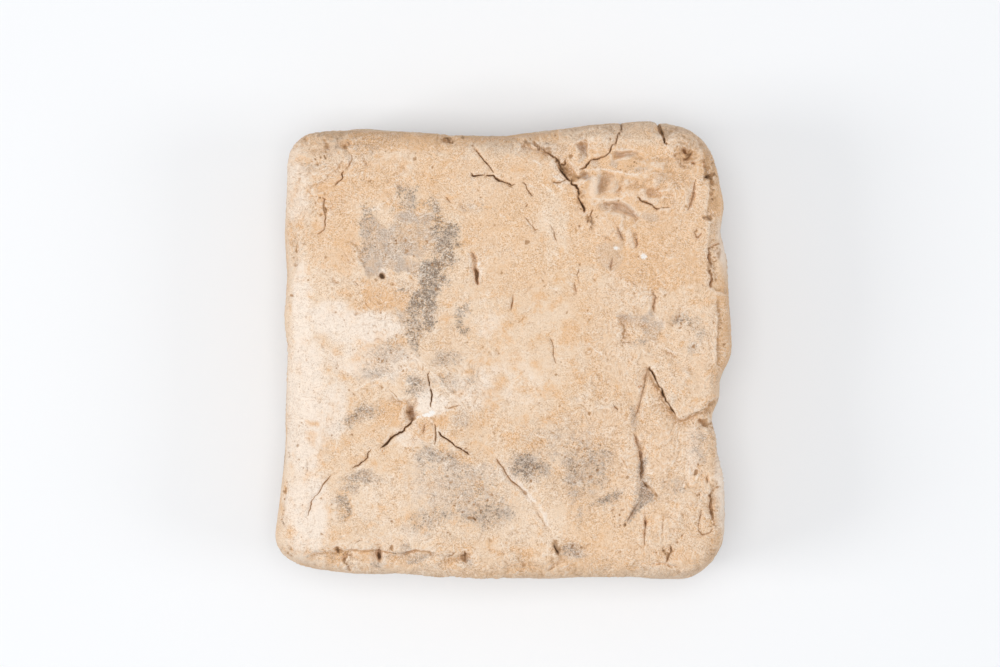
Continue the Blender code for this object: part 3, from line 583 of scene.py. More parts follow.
def cushion(cube):
    """Moves the points of the cube from -1 to 1 onto the plain cushion."""
    x, y, z = cube.T
    ring = np.maximum(np.maximum(np.abs(x), np.abs(y)), 1e-9)
    edge_x, edge_y = outline(x / ring * HALF_WIDTH, y / ring * HALF_HEIGHT)
    height = (z + 1) / 2 * (THICKNESS + UNDERSIDE_BULGE) - UNDERSIDE_BULGE
    rightness = smooth(*RIGHT_EDGE_STARTS, x)
    face_radius = FACE_EDGE_RADIUS + (RIGHT_EDGE_RADIUS - FACE_EDGE_RADIUS) * rightness
    depth, height = rounded_section((1 - ring) * HALF_WIDTH, height, face_radius)
    ring = 1 - depth / HALF_WIDTH
    middle = (THICKNESS - UNDERSIDE_BULGE) / 2
    fall = (height - middle) / (THICKNESS - middle)
    dome = FACE_DOME * sum(share * ring**power for power, share in DOME_SHARES)
    height -= np.clip(fall, 0, 1) * dome - np.clip(-fall, 0, 1) * UNDERSIDE_BULGE * ring**2
    points = np.column_stack([edge_x * ring, edge_y * ring, height])
    x, y, z = points.T
    lump = sum(size * np.sin(a * x + b * y + c * z + phase) for size, a, b, c, phase in LUMPS)
    from_middle = (x / HALF_WIDTH, y / HALF_HEIGHT, (z - THICKNESS / 2) / (THICKNESS / 2))
    out = np.column_stack(from_middle) ** 3
    out /= np.maximum(np.linalg.norm(out, axis=1, keepdims=True), 1e-9)
    return points + out * (lump - LUMPS_LOWERED)[:, None]


# ---------------------------------------------------------------- relief of the face
# How many small marks are scattered over the face, and how far from its middle
STRAY_CRACKS = 170
STRAY_SCRATCHES = 420
STRAY_HOLES = 900
STRAY_REACH = 29.5
# Shares of the thickness between which the relief of the face, and its cracks, fade in
FACE_ABOVE = (0.62, 0.86)
CRACKS_ABOVE = (0.38, 0.76)
# A crack: open width and depth for each unit of its half width, greatest depth, and how much of the
# depth is rounded lips and how far these reach
CRACK_WIDTH = 0.60
CRACK_DEPTH = 5.5
DEEPEST_CRACK = 1.5
LIP_SHARE = 0.12
LIP_REACH = 3.2
# Pale raised lines and painted ridge highlights: half width, height and paleness
PALE_LINE = (0.13, 0.05, 0.55)
# Small holes: radius and depth by the radius in the table, and darkness
HOLE_RADIUS = 0.85
HOLE_DEPTH = 1.2
HOLE_DARKNESS = 0.6
SCRATCH_HEIGHT = 0.03
STRAY_SCRATCH_HEIGHT = 0.02
RUBBLE_HEIGHT = 0.22
# Sideways sway of lines, and the most of it as a share of each stretch
CRACK_SWAY = 0.10
GROOVE_SWAY = 0.05
LEDGE_SWAY = 0.16
MOST_SWAY = 0.28
# How lines fade out: overrun past their ends, and the stretch of the fade
CRACK_ENDS = (0.15, 0.7)
GROOVE_ENDS = (0.3, 1.4)
RAISED_ENDS = (0.1, 0.8)
LEDGE_ENDS = (0, 1.2)
# Painted shade and dirt at the dark foot of a ledge: darkness, width, and the drop from which it is full
LEDGE_FOOT_SHADE = (0.5, 0.13, 0.5)

# Wear towards the rim, the right border, the upper and the lower edge: most, and where it grows
RIM_WEAR = (0.35, 27.5, 30.5)
RIGHT_WEAR = (0.45, 26.5, 28.5)
UPPER_WEAR = (0.35, 25.5, 28.5)
LOWER_WEAR = (0.30, 25.5, 27.5)
# The outermost strip of the right border, which is whole again, and the middle of its smoother stretch
WHOLE_RIM = (28.8, 29.8)
WHOLE_RIM_SHARE = 0.7
SMOOTHER_Y = -3
# Worn corners: most wear, centre x and y, half width and half height
WORN_CORNERS = ((0.6, -25, 25.5, 4.5, 4), (1, 25, 26, 3, 3), (0.4, 24, -21, 6, 8))
# Calm places, where the surface is smoother: centre x and y, half width and half height
CALM_PLACES = ((16.5, 21.5, 6.5, 6), (4, 1, 9, 8))
CALM = 0.6
CALM_SMOOTHING = 0.6

# Broken layers: seed, size, height of a layer and strength
LAYERS = ((41, 4.0, 0.17, 1.1), (51, 1.7, 0.12, 0.35))
# Fine roughness: seed, size and height
ROUGHNESS = ((81, 1.6, 0.045), (82, 0.8, 0.030), (83, 0.42, 0.026), (84, 0.24, 0.018))
# Cavities at two scales, for the painted shade in hollows and the painted highlight on raised places: reach
# of the comparison, and the depth that counts as 1
CAVITIES = ((0.35, 0.06), (1.2, 0.20))
CAVITY_CRACKS = 0.4
CAVITY_MOST = 1.5


def pairs(flat):
    return np.reshape(flat, (-1, 2)).astype(float)


def window(points, reach):
    """The cells of the face within reach of these points: their slices, and the x and y of each."""
    low = np.searchsorted(AXIS, np.min(points, axis=0) - reach)
    high = np.searchsorted(AXIS, np.max(points, axis=0) + reach)
    x, y = np.meshgrid(AXIS[low[0]:high[0]], AXIS[low[1]:high[1]])
    return (slice(low[1], high[1]), slice(low[0], high[0])), x, y


def raise_to(raster, part, values):
    """Raises the cells in this part of the raster to the values, where they are lower."""
    raster[part] = np.maximum(raster[part], values)


def path_distance(x, y, path):
    """Distance to the line, how far along it the nearest place is, and the side: 1 on the right."""
    lengths = np.hypot(*np.diff(path, axis=0).T)
    starts = np.concatenate([[0], np.cumsum(lengths)])
    nearest, along, side = np.full(x.shape, 1e9), np.zeros(x.shape), np.zeros(x.shape)
    for start, end, length, before in zip(path[:-1], path[1:], lengths, starts):
        way_x, way_y = (end - start) / length
        run = (x - start[0]) * way_x + (y - start[1]) * way_y
        across = (x - start[0]) * way_y - (y - start[1]) * way_x
        distance = np.hypot(run - np.clip(run, 0, length), across)
        closer = distance < nearest
        nearest = np.where(closer, distance, nearest)
        along = np.where(closer, before + np.clip(run, 0, length), along)
        side = np.where(closer, np.sign(across), side)
    return nearest, along, side


def fade_at_ends(along, path, overrun, stretch):
    """1 along most of the path, with a fall at both ends that would reach 0 at overrun past them."""
    from_nearer_end = np.minimum(along, np.hypot(*np.diff(path, axis=0).T).sum() - along)
    return np.clip((from_nearer_end + overrun) / stretch, 0, 1)


def roughened(path, seed, sway=CRACK_SWAY):
    """The path with a bent point added in the middle of each stretch, twice over."""
    random = np.random.default_rng(seed)
    for _ in range(2):
        steps = np.diff(path, axis=0)
        lengths = np.hypot(*steps.T)[:, None]
        bends = np.column_stack([-steps[:, 1], steps[:, 0]]) / lengths
        bends *= random.uniform(-1, 1, lengths.shape) * np.minimum(sway, MOST_SWAY * lengths)
        joined = np.empty((2 * len(path) - 1, 2))
        joined[0::2], joined[1::2] = path, (path[:-1] + path[1:]) / 2 + bends
        path = joined
    return path


def carve_crack(face, path, half_width, darkness):
    part, x, y = window(path, 1.0)
    distance, along, _ = path_distance(x, y, path)
    ends = fade_at_ends(along, path, *CRACK_ENDS) ** 0.7
    width = CRACK_WIDTH * half_width * (0.5 + 0.5 * ends) * (1 + 0.6 * face["wobble"][part])
    slot = np.clip(1.2 - distance / width, 0, 1) ** 0.6
    lips = np.exp(-((distance / (LIP_REACH * half_width)) ** 2))
    section = (1 - LIP_SHARE) * slot + LIP_SHARE * lips
    raise_to(face["cracks"], part, ends * min(CRACK_DEPTH * half_width, DEEPEST_CRACK) * section)
    # dirt and painted shade in the crack
    filled = darkness * (0.35 + 0.65 * ends) * np.clip(1.4 - distance / (width + 0.03), 0, 1)
    raise_to(face["soil_and_shade"], part, filled)


def carve_groove(face, path, half_width, deepest):
    part, x, y = window(path, 3 * half_width)
    distance, along, _ = path_distance(x, y, path)
    ends = fade_at_ends(along, path, *GROOVE_ENDS)
    width = half_width * (0.6 + 0.4 * ends) * (1 + 0.3 * face["wobble"][part])
    face["pressed"][part] += deepest * ends * np.exp(-((distance / width) ** 3))


def carve_hole(face, x, y, radius, depth, darkness):
    part, cell_x, cell_y = window([(x, y)], 2 * radius + 0.1)
    inside = np.hypot(cell_x - x, cell_y - y) / radius * (1 + 0.5 * face["wobble"][part])
    face["pressed"][part] += depth * np.exp(-(inside**3))
    raise_to(face["soil_and_shade"], part, darkness * np.clip(1.5 - inside, 0, 1))


def raise_line(face, path, half_width, height, paleness):
    part, x, y = window(path, 0.6)
    distance, along, _ = path_distance(x, y, path)
    ends = fade_at_ends(along, path, *RAISED_ENDS)
    share = ends * np.exp(-((distance / half_width) ** 2))
    face["pressed"][part] -= height * share
    raise_to(face["pale_and_highlight"], part, paleness * share)


def lower_ledge(face, path, drop, reach):
    """Lowers the ground on the right of the path, most right beside it."""
    part, x, y = window(path, reach)
    distance, along, side = path_distance(x, y, path)
    ends = fade_at_ends(along, path, *LEDGE_ENDS)
    signed = distance * side + 0.12 * face["wobble"][part]
    recovery = np.clip(1 - signed / reach, 0, 1) ** 1.4
    wall = 0.08 + 0.35 * drop
    face["pressed"][part] += drop * ends * smooth(-0.04, wall, signed) * recovery
    # painted shade and dirt at the foot of the wall
    darkness, foot_width, full_drop = LEDGE_FOOT_SHADE
    at_foot = np.exp(-(((signed - wall) / foot_width) ** 2))
    raise_to(face["soil_and_shade"], part, darkness * ends * min(drop, full_drop) / full_drop * at_foot)


def oval_distance(x, y, half_length, half_width, turn):
    """Distance from the middle of an oval, which is 1 at its edge."""
    cosine, sine = np.cos(np.radians(turn)), np.sin(np.radians(turn))
    return np.hypot((x * cosine + y * sine) / half_length, (y * cosine - x * sine) / half_width)


def press_hollow(face, x, y, half_length, half_width, turn, deepest):
    part, cell_x, cell_y = window([(x, y)], 1.7 * max(half_length, half_width))
    inside = oval_distance(cell_x - x, cell_y - y, half_length, half_width, turn)
    inside *= 1 + 0.3 * face["wobble"][part]
    face["pressed"][part] += deepest * np.exp(-(inside**3))


def press_wedge(face, tip, head, half_width, deepest):
    """A stylus mark: it grows wider and deeper from its tip to a steep wall at its head."""
    part, x, y = window([tip, head], 2 * half_width)
    length = np.hypot(*(head - tip))
    way = (head - tip) / length
    run = ((x - tip[0]) * way[0] + (y - tip[1]) * way[1]) / length
    across = np.abs((x - tip[0]) * way[1] - (y - tip[1]) * way[0])
    width = half_width * np.clip(run, 0.05, 1)
    floor = np.clip(run, 0, 1) * smooth(1.10, 0.94, run)
    face["pressed"][part] += deepest * floor * np.clip(1.15 - across / width, 0, 1) ** 0.8


def add_dirt_and_shade(face, x, y, half_length, half_width, turn, strength):
    part, cell_x, cell_y = window([(x, y)], 1.6 * max(half_length, half_width))
    inside = oval_distance(cell_x - x, cell_y - y, half_length, half_width, turn)
    rubble = face["rubble"][part]
    # dirt and rubble, and in some hollows painted shade
    filled = strength * smooth(1.6, 0.4, inside + 0.7 * face["wobble"][part])
    filled *= np.clip(1 + 0.7 * rubble, 0.3, 1.3)
    face["pressed"][part] -= RUBBLE_HEIGHT * strength * rubble * smooth(1.4, 0.8, inside)
    raise_to(face["soil_and_shade"], part, filled)


def stray_line(random, stretches, stretch, turning):
    """A line at a random place on the face, with bends of up to turning radians."""
    way = random.uniform(0, 2 * np.pi)
    path = [random.uniform(-STRAY_REACH, STRAY_REACH, 2)]
    for _ in range(stretches):
        path.append(path[-1] + stretch * np.array([np.cos(way), np.sin(way)]))
        way += random.uniform(-turning, turning)
    return np.array(path)


def spread_over(random, centre_x, centre_y, half_length, half_width, turn):
    """A random place in an oval."""
    reach, angle = random.uniform(0, 1) ** 0.6, random.uniform(0, 2 * np.pi)
    along, across = half_length * reach * np.cos(angle), half_width * reach * np.sin(angle)
    cosine, sine = np.cos(np.radians(turn)), np.sin(np.radians(turn))
    return centre_x + along * cosine - across * sine, centre_y + along * sine + across * cosine


def scatter_marks(face, random):
    """Hair cracks, scratches and pits all over the face."""
    for _ in range(STRAY_CRACKS):
        path = stray_line(random, random.integers(2, 7), random.uniform(0.2, 0.7), 0.6)
        half_width = random.uniform(0.025, 0.05) * random.uniform(0.8, 1.3)
        path = roughened(path, random.integers(99))
        carve_crack(face, path, half_width, random.uniform(0.1, 0.4))
    for _ in range(STRAY_SCRATCHES):
        path = stray_line(random, 2, random.uniform(0.4, 2.4), 0.15)
        half_width = random.uniform(0.04, 0.08)
        raise_line(face, path, half_width, STRAY_SCRATCH_HEIGHT, random.uniform(0.15, 0.6))
    for _ in range(STRAY_HOLES):
        place = random.uniform(-STRAY_REACH, STRAY_REACH, 2)
        radius = random.uniform(0.06, 0.15) * random.uniform(0.8, 1.5)
        depth = random.uniform(0.3, 1.0) * radius
        carve_hole(face, *place, radius, depth, random.uniform(0.15, 0.6))


def crumble(face, random):
    for *oval, count in CRUMBLING:
        for _ in range(count):
            radius = random.uniform(0.06, 0.17)
            place = spread_over(random, *oval)
            carve_hole(face, *place, radius, HOLE_DEPTH * radius, random.uniform(0.2, 0.85))


def scratch(face, random):
    for centre_x, centre_y, half_length, half_width, direction, count in SCRATCHED:
        for _ in range(count):
            start = spread_over(random, centre_x, centre_y, half_length, half_width, 0)
            way = np.radians(direction) + random.normal(0, 0.22)
            end = start + random.uniform(0.5, 3.0) * np.array([np.cos(way), np.sin(way)])
            bend = (start + end) / 2 + random.normal(0, 0.08, 2)
            path = np.array([start, bend, end])
            thin = random.uniform(0.04, 0.07)
            raise_line(face, path, thin, SCRATCH_HEIGHT, random.uniform(0.2, 0.9))


def make_marks(face):
    """All marks that the tables place, and the stray ones between them."""
    random = np.random.default_rng(5)
    scatter_marks(face, random)
    for number, (half_width, darkness, *flat) in enumerate(CRACKS):
        carve_crack(face, roughened(pairs(flat), number), half_width, darkness)
    crumble(face, random)
    scratch(face, random)
    for flat in PALE_LINES_AND_HIGHLIGHTS:
        raise_line(face, roughened(pairs(flat), 7), *PALE_LINE)
    for x, y, radius in HOLES:
        carve_hole(face, x, y, HOLE_RADIUS * radius, HOLE_DEPTH * radius, HOLE_DARKNESS)
    for number, (half_width, deepest, *flat) in enumerate(GROOVES, 100):
        carve_groove(face, roughened(pairs(flat), number, GROOVE_SWAY), half_width, deepest)
    for *ends, half_width, deepest in WEDGES:
        press_wedge(face, *pairs(ends), half_width, deepest)
    for hollow in HOLLOWS:
        press_hollow(face, *hollow)
    for *oval, height in SWELLS:
        press_hollow(face, *oval, -height)
    for number, (drop, reach, *flat) in enumerate(LEDGES, 200):
        lower_ledge(face, roughened(pairs(flat), number, LEDGE_SWAY), drop, reach)
    for spot in DIRT_AND_SHADE:
        add_dirt_and_shade(face, *spot)


def spot_distance(x, y, centre_x, centre_y, half_width, half_height):
    """Square of the distance from the middle of an upright oval, which is 1 at its edge."""
    return ((x - centre_x) / half_width) ** 2 + ((y - centre_y) / half_height) ** 2


def wear_towards(most, start, full, way):
    return most * smooth(start, full, way)


def wear(x, y):
    """How worn each place is from 0 to 1."""
    smoother = 0.6 + 0.4 * smooth(-2, 4, np.abs(y - SMOOTHER_Y))
    whole = 1 - WHOLE_RIM_SHARE * smooth(*WHOLE_RIM, x)
    total = wear_towards(*RIM_WEAR, np.maximum(np.abs(x), np.abs(y))) * whole
    total += wear_towards(*RIGHT_WEAR, x) * smoother * whole
    total += wear_towards(*UPPER_WEAR, y)
    total += wear_towards(*LOWER_WEAR, -y)
    for most, *corner in WORN_CORNERS:
        total += most * np.exp(-spot_distance(x, y, *corner))
    return np.clip(total, 0, 1)


def layer_edges(height, step, wall):
    """Heights cut into levels, less the heights themselves, so that only the levels' edges show."""
    level = height / step
    share = level - np.floor(level)
    return smooth(0.5 - wall, 0.5 + wall, share) - share


def roughen(face, x, y):
    """Unevenness of the face between its marks: waves, broken layers, worn ground and grain."""
    worn = face["worn"]
    pressed = face["pressed"]
    pressed += 0.16 * flat_layers(21, 3.2, 2) * smooth(0.2, 0.6, worn)
    flaked = smooth(-0.2, 0.5, flat_noise(31, 7) + 1.2 * worn)
    for seed, size, step, strength in LAYERS:
        pressed += strength * step * layer_edges(flat_layers(seed, size, 4), step, 0.06) * flaked
    pressed += worn * (0.22 * np.abs(flat_layers(61, 2.4, 3)) + 0.09 * flat_noise(65, 0.45))
    rough = sum(height * flat_noise(seed, size) for seed, size, height in ROUGHNESS)
    pressed += 0.11 * flat_layers(71, 6, 2) + rough * (1 - CALM_SMOOTHING * face["calm"])
    upper_left = smooth(11, 15, y) * smooth(-8, -16, x)
    upper_edge = smooth(0, 2, x) * smooth(24, 25.5, y)
    lower_right = smooth(2, 6, x) * smooth(-8, -12, y)
    pressed += 0.03 * flat_noise(85, 2.4, 0.3) * (upper_left + upper_edge)
    pressed += 0.03 * flat_noise(86, 0.3, 2.4) * lower_right


def cavity_shade_and_highlight(face):
    """How deep each place lies against those around it, from -1 to 1: the mask of the painted shade in
    hollows and the painted highlight on raised places.
    """
    total = face["pressed"] + np.minimum(face["cracks"], CAVITY_CRACKS)
    levels = ((total - blurred(total, reach)) / depth for reach, depth in CAVITIES)
    return np.clip(sum(0.5 * np.clip(level, -CAVITY_MOST, CAVITY_MOST) for level in levels), -1, 1)


def make_face():
    """Maps of the face in cells: how far it is pressed in, and the dirt, painted shade, pale lines and
    painted highlights on it.
    """
    x, y = np.meshgrid(AXIS, AXIS)
    face = {name: np.zeros(FACE_SHAPE) for name in ("cracks", "pressed", "soil_and_shade", "pale_and_highlight")}
    face["wobble"] = flat_layers(1, 0.6, 3)
    face["rubble"] = flat_layers(3, 0.36, 2)
    face["worn"] = wear(x, y)
    calm = sum(np.exp(-(spot_distance(x, y, *place) ** 2)) for place in CALM_PLACES)
    face["calm"] = CALM * calm
    make_marks(face)
    roughen(face, x, y)
    face["cavity_shade_and_highlight"] = cavity_shade_and_highlight(face)
    return face


# ---------------------------------------------------------------- colour areas
AREA_SWAY = 0.45
SMALL_SWAY_SHARE = 0.2
WIDE_SWAY = 0.5
# Shares of the thickness between which the colours of the face fade in
COLOURS_ABOVE = (0.50, 0.80)
# Shares of the thickness over which the colour grows darker towards the underside, by height alone
UNDERSIDE_DARKENING_HEIGHTS = (0.70, 0.40)
FILM_UNDER_SOOT = 0.6
OCHRE_WHERE_WORN = 0.5
# On the sides and the underside each mask is noise: size, level where it starts, greatest strength
SIDE_MASKS = {
    "film_and_shade": (6.0, 0.15, 0.4),
    "soot_and_shade": (6.0, 0.45, 0.5),
    "ochre_and_shade": (7.0, -0.2, 0.8),
    "haze_and_highlight": (8.0, -0.2, 0.6),
}
SIDE_MASK_RISE = 0.6
SIDE_WORN = 0.35
# The orange stretch of the right rim: where it starts and is full along x, and at both ends along y
ORANGE_RIM = ((28.4, 29.6), (-4, -2), (10, 8))


def inward_distance(x, y, corners):
    """Distance inwards from the edge of an area with these corners; less than 0 outside."""
    nearest, inside = np.full(x.shape, 1e9), np.zeros(x.shape, bool)
    for (x0, y0), (x1, y1) in zip(corners, np.roll(corners, -1, axis=0)):
        way_x, way_y = x1 - x0, y1 - y0
        share = np.clip(((x - x0) * way_x + (y - y0) * way_y) / (way_x**2 + way_y**2), 0, 1)
        nearest = np.minimum(nearest, np.hypot(x - x0 - share * way_x, y - y0 - share * way_y))
        crosses = (y0 > y) != (y1 > y)
        inside ^= crosses & (x < x0 + (y - y0) * way_x / (way_y or 1))
    return np.where(inside, nearest, -nearest)


def areas(table, sway, soft, wider=0.0):
    """Mask of the areas with the corners in the table, with swaying edges."""
    mask = np.zeros(FACE_SHAPE)
    for strength, *flat in table:
        corners = pairs(flat)
        part, x, y = window(corners, 1.5)
        depth = inward_distance(x + sway[0][part], y + sway[1][part], corners)
        raise_to(mask, part, strength * smooth(-soft, soft, depth + wider))
    return mask


def ovals(table, sway, soft):
    """Mask of the ovals in the table, with swaying edges."""
    mask = np.zeros(FACE_SHAPE)
    for centre_x, centre_y, half_length, half_width, turn, strength in table:
        part, x, y = window([(centre_x, centre_y)], 1.8 * max(half_length, half_width) + 0.5)
        x, y = x + sway[0][part] - centre_x, y + sway[1][part] - centre_y
        inside = oval_distance(x, y, half_length, half_width, turn)
        raise_to(mask, part, strength * smooth(1 + soft, 1 - soft, inside))
    return mask


def add_colour_areas(face):
    sway = [AREA_SWAY * flat_layers(seed, 1.1, 3) for seed in (101, 111)]
    small_sway = [SMALL_SWAY_SHARE * part for part in sway]
    wide_sway = [part + WIDE_SWAY * flat_noise(seed, 2.6) for part, seed in zip(sway, (121, 131))]
    face["film_and_shade"] = areas(FILMS_AND_SHADE, sway, 0.5)
    face["facet_shade"] = areas(SHADED_FACETS, small_sway, 0.15)
    face["soot_and_shade"] = areas(SOOTS_AND_SHADE, sway, 0.65, 0.40)
    for name, column in (("film_and_shade", 5), ("soot_and_shade", 6)):
        smudges = ovals([(*row[:5], row[column]) for row in SMUDGES_AND_SHADE], wide_sway, 0.7)
        face[name] = np.maximum(face[name], smudges)
    face["film_and_shade"] = np.maximum(face["film_and_shade"], FILM_UNDER_SOOT * face["soot_and_shade"])
    face["ochre_and_shade"] = np.maximum(areas(OCHRES_AND_SHADE, sway, 0.6), OCHRE_WHERE_WORN * face["worn"])
    face["haze_and_highlight"] = ovals(HAZES_AND_HIGHLIGHTS, sway, 0.6)
    face["mineral"] = ovals(MINERALS, small_sway, 0.45)


def masks_at(points, face):
    """The value of every mask at these points, by the name that the material reads it by."""
    x, y, z = points.T
    height = z / THICKNESS
    on_face = smooth(*COLOURS_ABOVE, height)
    masks = {}
    for number, (name, (size, start, most)) in enumerate(SIDE_MASKS.items(), 31):
        beside = most * smooth(start, start + SIDE_MASK_RISE, noise(points, size, number))
        masks[name] = at_points(face[name], x, y) * on_face + beside * (1 - on_face)
    for name in ("facet_shade", "mineral", "pale_and_highlight", "cavity_shade_and_highlight", "calm"):
        masks[name] = at_points(face[name], x, y) * on_face
    masks["worn"] = at_points(face["worn"], x, y) * on_face + SIDE_WORN * (1 - on_face)
    masks["soil_and_shade"] = at_points(face["soil_and_shade"], x, y) * smooth(*CRACKS_ABOVE, height)
    start, lower_end, upper_end = ORANGE_RIM
    orange = smooth(*start, x) * smooth(*lower_end, y) * smooth(*upper_end, y)
    masks["ochre_and_shade"] = np.maximum(masks["ochre_and_shade"], orange)
    masks["haze_and_highlight"] *= 1 - orange
    # darker towards the underside, by height alone
    masks["darkening_towards_underside"] = smooth(*UNDERSIDE_DARKENING_HEIGHTS, height)
    return masks


# ---------------------------------------------------------------- the mesh
# Relief of the sides and the underside: seed, size and height of waves and of grain
SIDE_WAVES = ((1, 6, 0.10), (2, 2.2, 0.06))
SIDE_GRAIN = ((7, 1.1, 0.05), (8, 0.5, 0.04))
SIDE_LAYER = 0.24
SIDE_LAYER_STEP = 0.3
# Heights between which the underside turns from smooth, where it rests, to rough
RESTING = (0.3, 2.0)
RESTING_ROUGHNESS = 0.5


def pressed_in(points, face):
    """How far each point of the cushion is pressed in."""
    x, y, z = points.T
    height = z / THICKNESS
    on_face = smooth(*FACE_ABOVE, height)
    beside = sum(deep * layered(points, size, 2, seed) for seed, size, deep in SIDE_WAVES)
    edges = layer_edges(layered(points, 6, 3, 4), SIDE_LAYER_STEP, 0.1)
    beside += SIDE_LAYER * edges * smooth(-0.2, 0.4, noise(points, 9, 6))
    beside += sum(deep * noise(points, size, seed) for seed, size, deep in SIDE_GRAIN)
    beside *= RESTING_ROUGHNESS + (1 - RESTING_ROUGHNESS) * smooth(*RESTING, z)
    cracked = at_points(face["cracks"], x, y) * smooth(*CRACKS_ABOVE, height)
    return at_points(face["pressed"], x, y) * on_face + beside * (1 - on_face) + cracked


def mesh_from(name, points, faces):
    mesh = bpy.data.meshes.new(name)
    mesh.from_pydata(points, (), faces)
    mesh.update()
    return mesh


def add_object(name, data):
    obj = bpy.data.objects.new(name, data)
    bpy.context.scene.collection.objects.link(obj)
    return obj


def vertex_array(mesh, kind="co"):
    values = np.empty(len(mesh.vertices) * 3, np.float32)
    mesh.vertices.foreach_get(kind, values)
    return values.reshape(-1, 3).astype(float)


def aligned(points):
    """Centres the cushion's plan in the solid's box and brings its top to the box's top."""
    low, high = points.min(axis=0), points.max(axis=0)
    shift = (LOW + HIGH) / 2 - (low + high) / 2
    shift[2] = HIGH[2] - high[2]
    return points + shift


def worked_mesh(face):
    """The cushion with the relief of its face and sides, at full fineness."""
    points, faces = cube_grid(GRID_STEPS)
    points = aligned(cushion(points))
    points[:, 2] = np.maximum(points[:, 2], 0)
    mesh = mesh_from("dense_tablet", points, faces)
    points -= vertex_array(mesh, "normal") * pressed_in(points, face)[:, None]
    mesh.vertices.foreach_set("co", np.clip(points, LOW, HIGH).ravel())
    mesh.update()
    return mesh


def fewer_triangles(mesh, most):
    """A copy of a mesh of quads, with no more triangles than most."""
    obj = add_object(mesh.name, mesh)
    modifier = obj.modifiers.new("drop_surplus_points", "DECIMATE")
    modifier.ratio = min(1.0, most / (2 * len(mesh.polygons)))
    graph = bpy.context.evaluated_depsgraph_get()
    lighter = bpy.data.meshes.new_from_object(obj.evaluated_get(graph))
    bpy.data.objects.remove(obj)
    return lighter


def make_tablet():
    face = make_face()
    add_colour_areas(face)
    mesh = fewer_triangles(worked_mesh(face), MOST_TRIANGLES)
    mesh.name = "clay_tablet"
    points = np.clip(vertex_array(mesh), LOW, HIGH)
    for name, values in masks_at(points, face).items():
        attribute = mesh.attributes.new(name, "FLOAT", "POINT")
        attribute.data.foreach_set("value", values.astype(np.float32))
    mesh.vertices.foreach_set("co", (points * MM).ravel())
    mesh.shade_smooth()
    mesh.update()
    return add_object("clay_tablet", mesh)


# ---------------------------------------------------------------- material
PEACH = (0.818, 0.555, 0.345, 1)
CREAM = (0.860, 0.646, 0.460, 1)
OCHRE_AND_SHADE_COLOUR = (0.800, 0.482, 0.250, 1)
HAZE_AND_HIGHLIGHT_COLOUR = (0.945, 0.808, 0.682, 1)
FILM_AND_SHADE_COLOUR = (0.530, 0.420, 0.335, 1)
BROWN_FILM_AND_SHADE_COLOUR = (0.610, 0.430, 0.295, 1)
SOOT_AND_SHADE_COLOUR = (0.130, 0.095, 0.070, 1)
SOIL_AND_SHADE_COLOUR = (0.110, 0.060, 0.030, 1)
RUST = (0.420, 0.225, 0.100, 1)
WHITE = (0.940, 0.910, 0.860, 1)
PALE = (0.950, 0.820, 0.690, 1)
# How dark the colour grows towards the underside
UNDERSIDE_DARKENING_FACTOR = 0.62
ROUGHNESS_RANGE = (0.80, 0.98)
SPECULAR = 0.25
BUMP_HEIGHT = 0.15 * MM


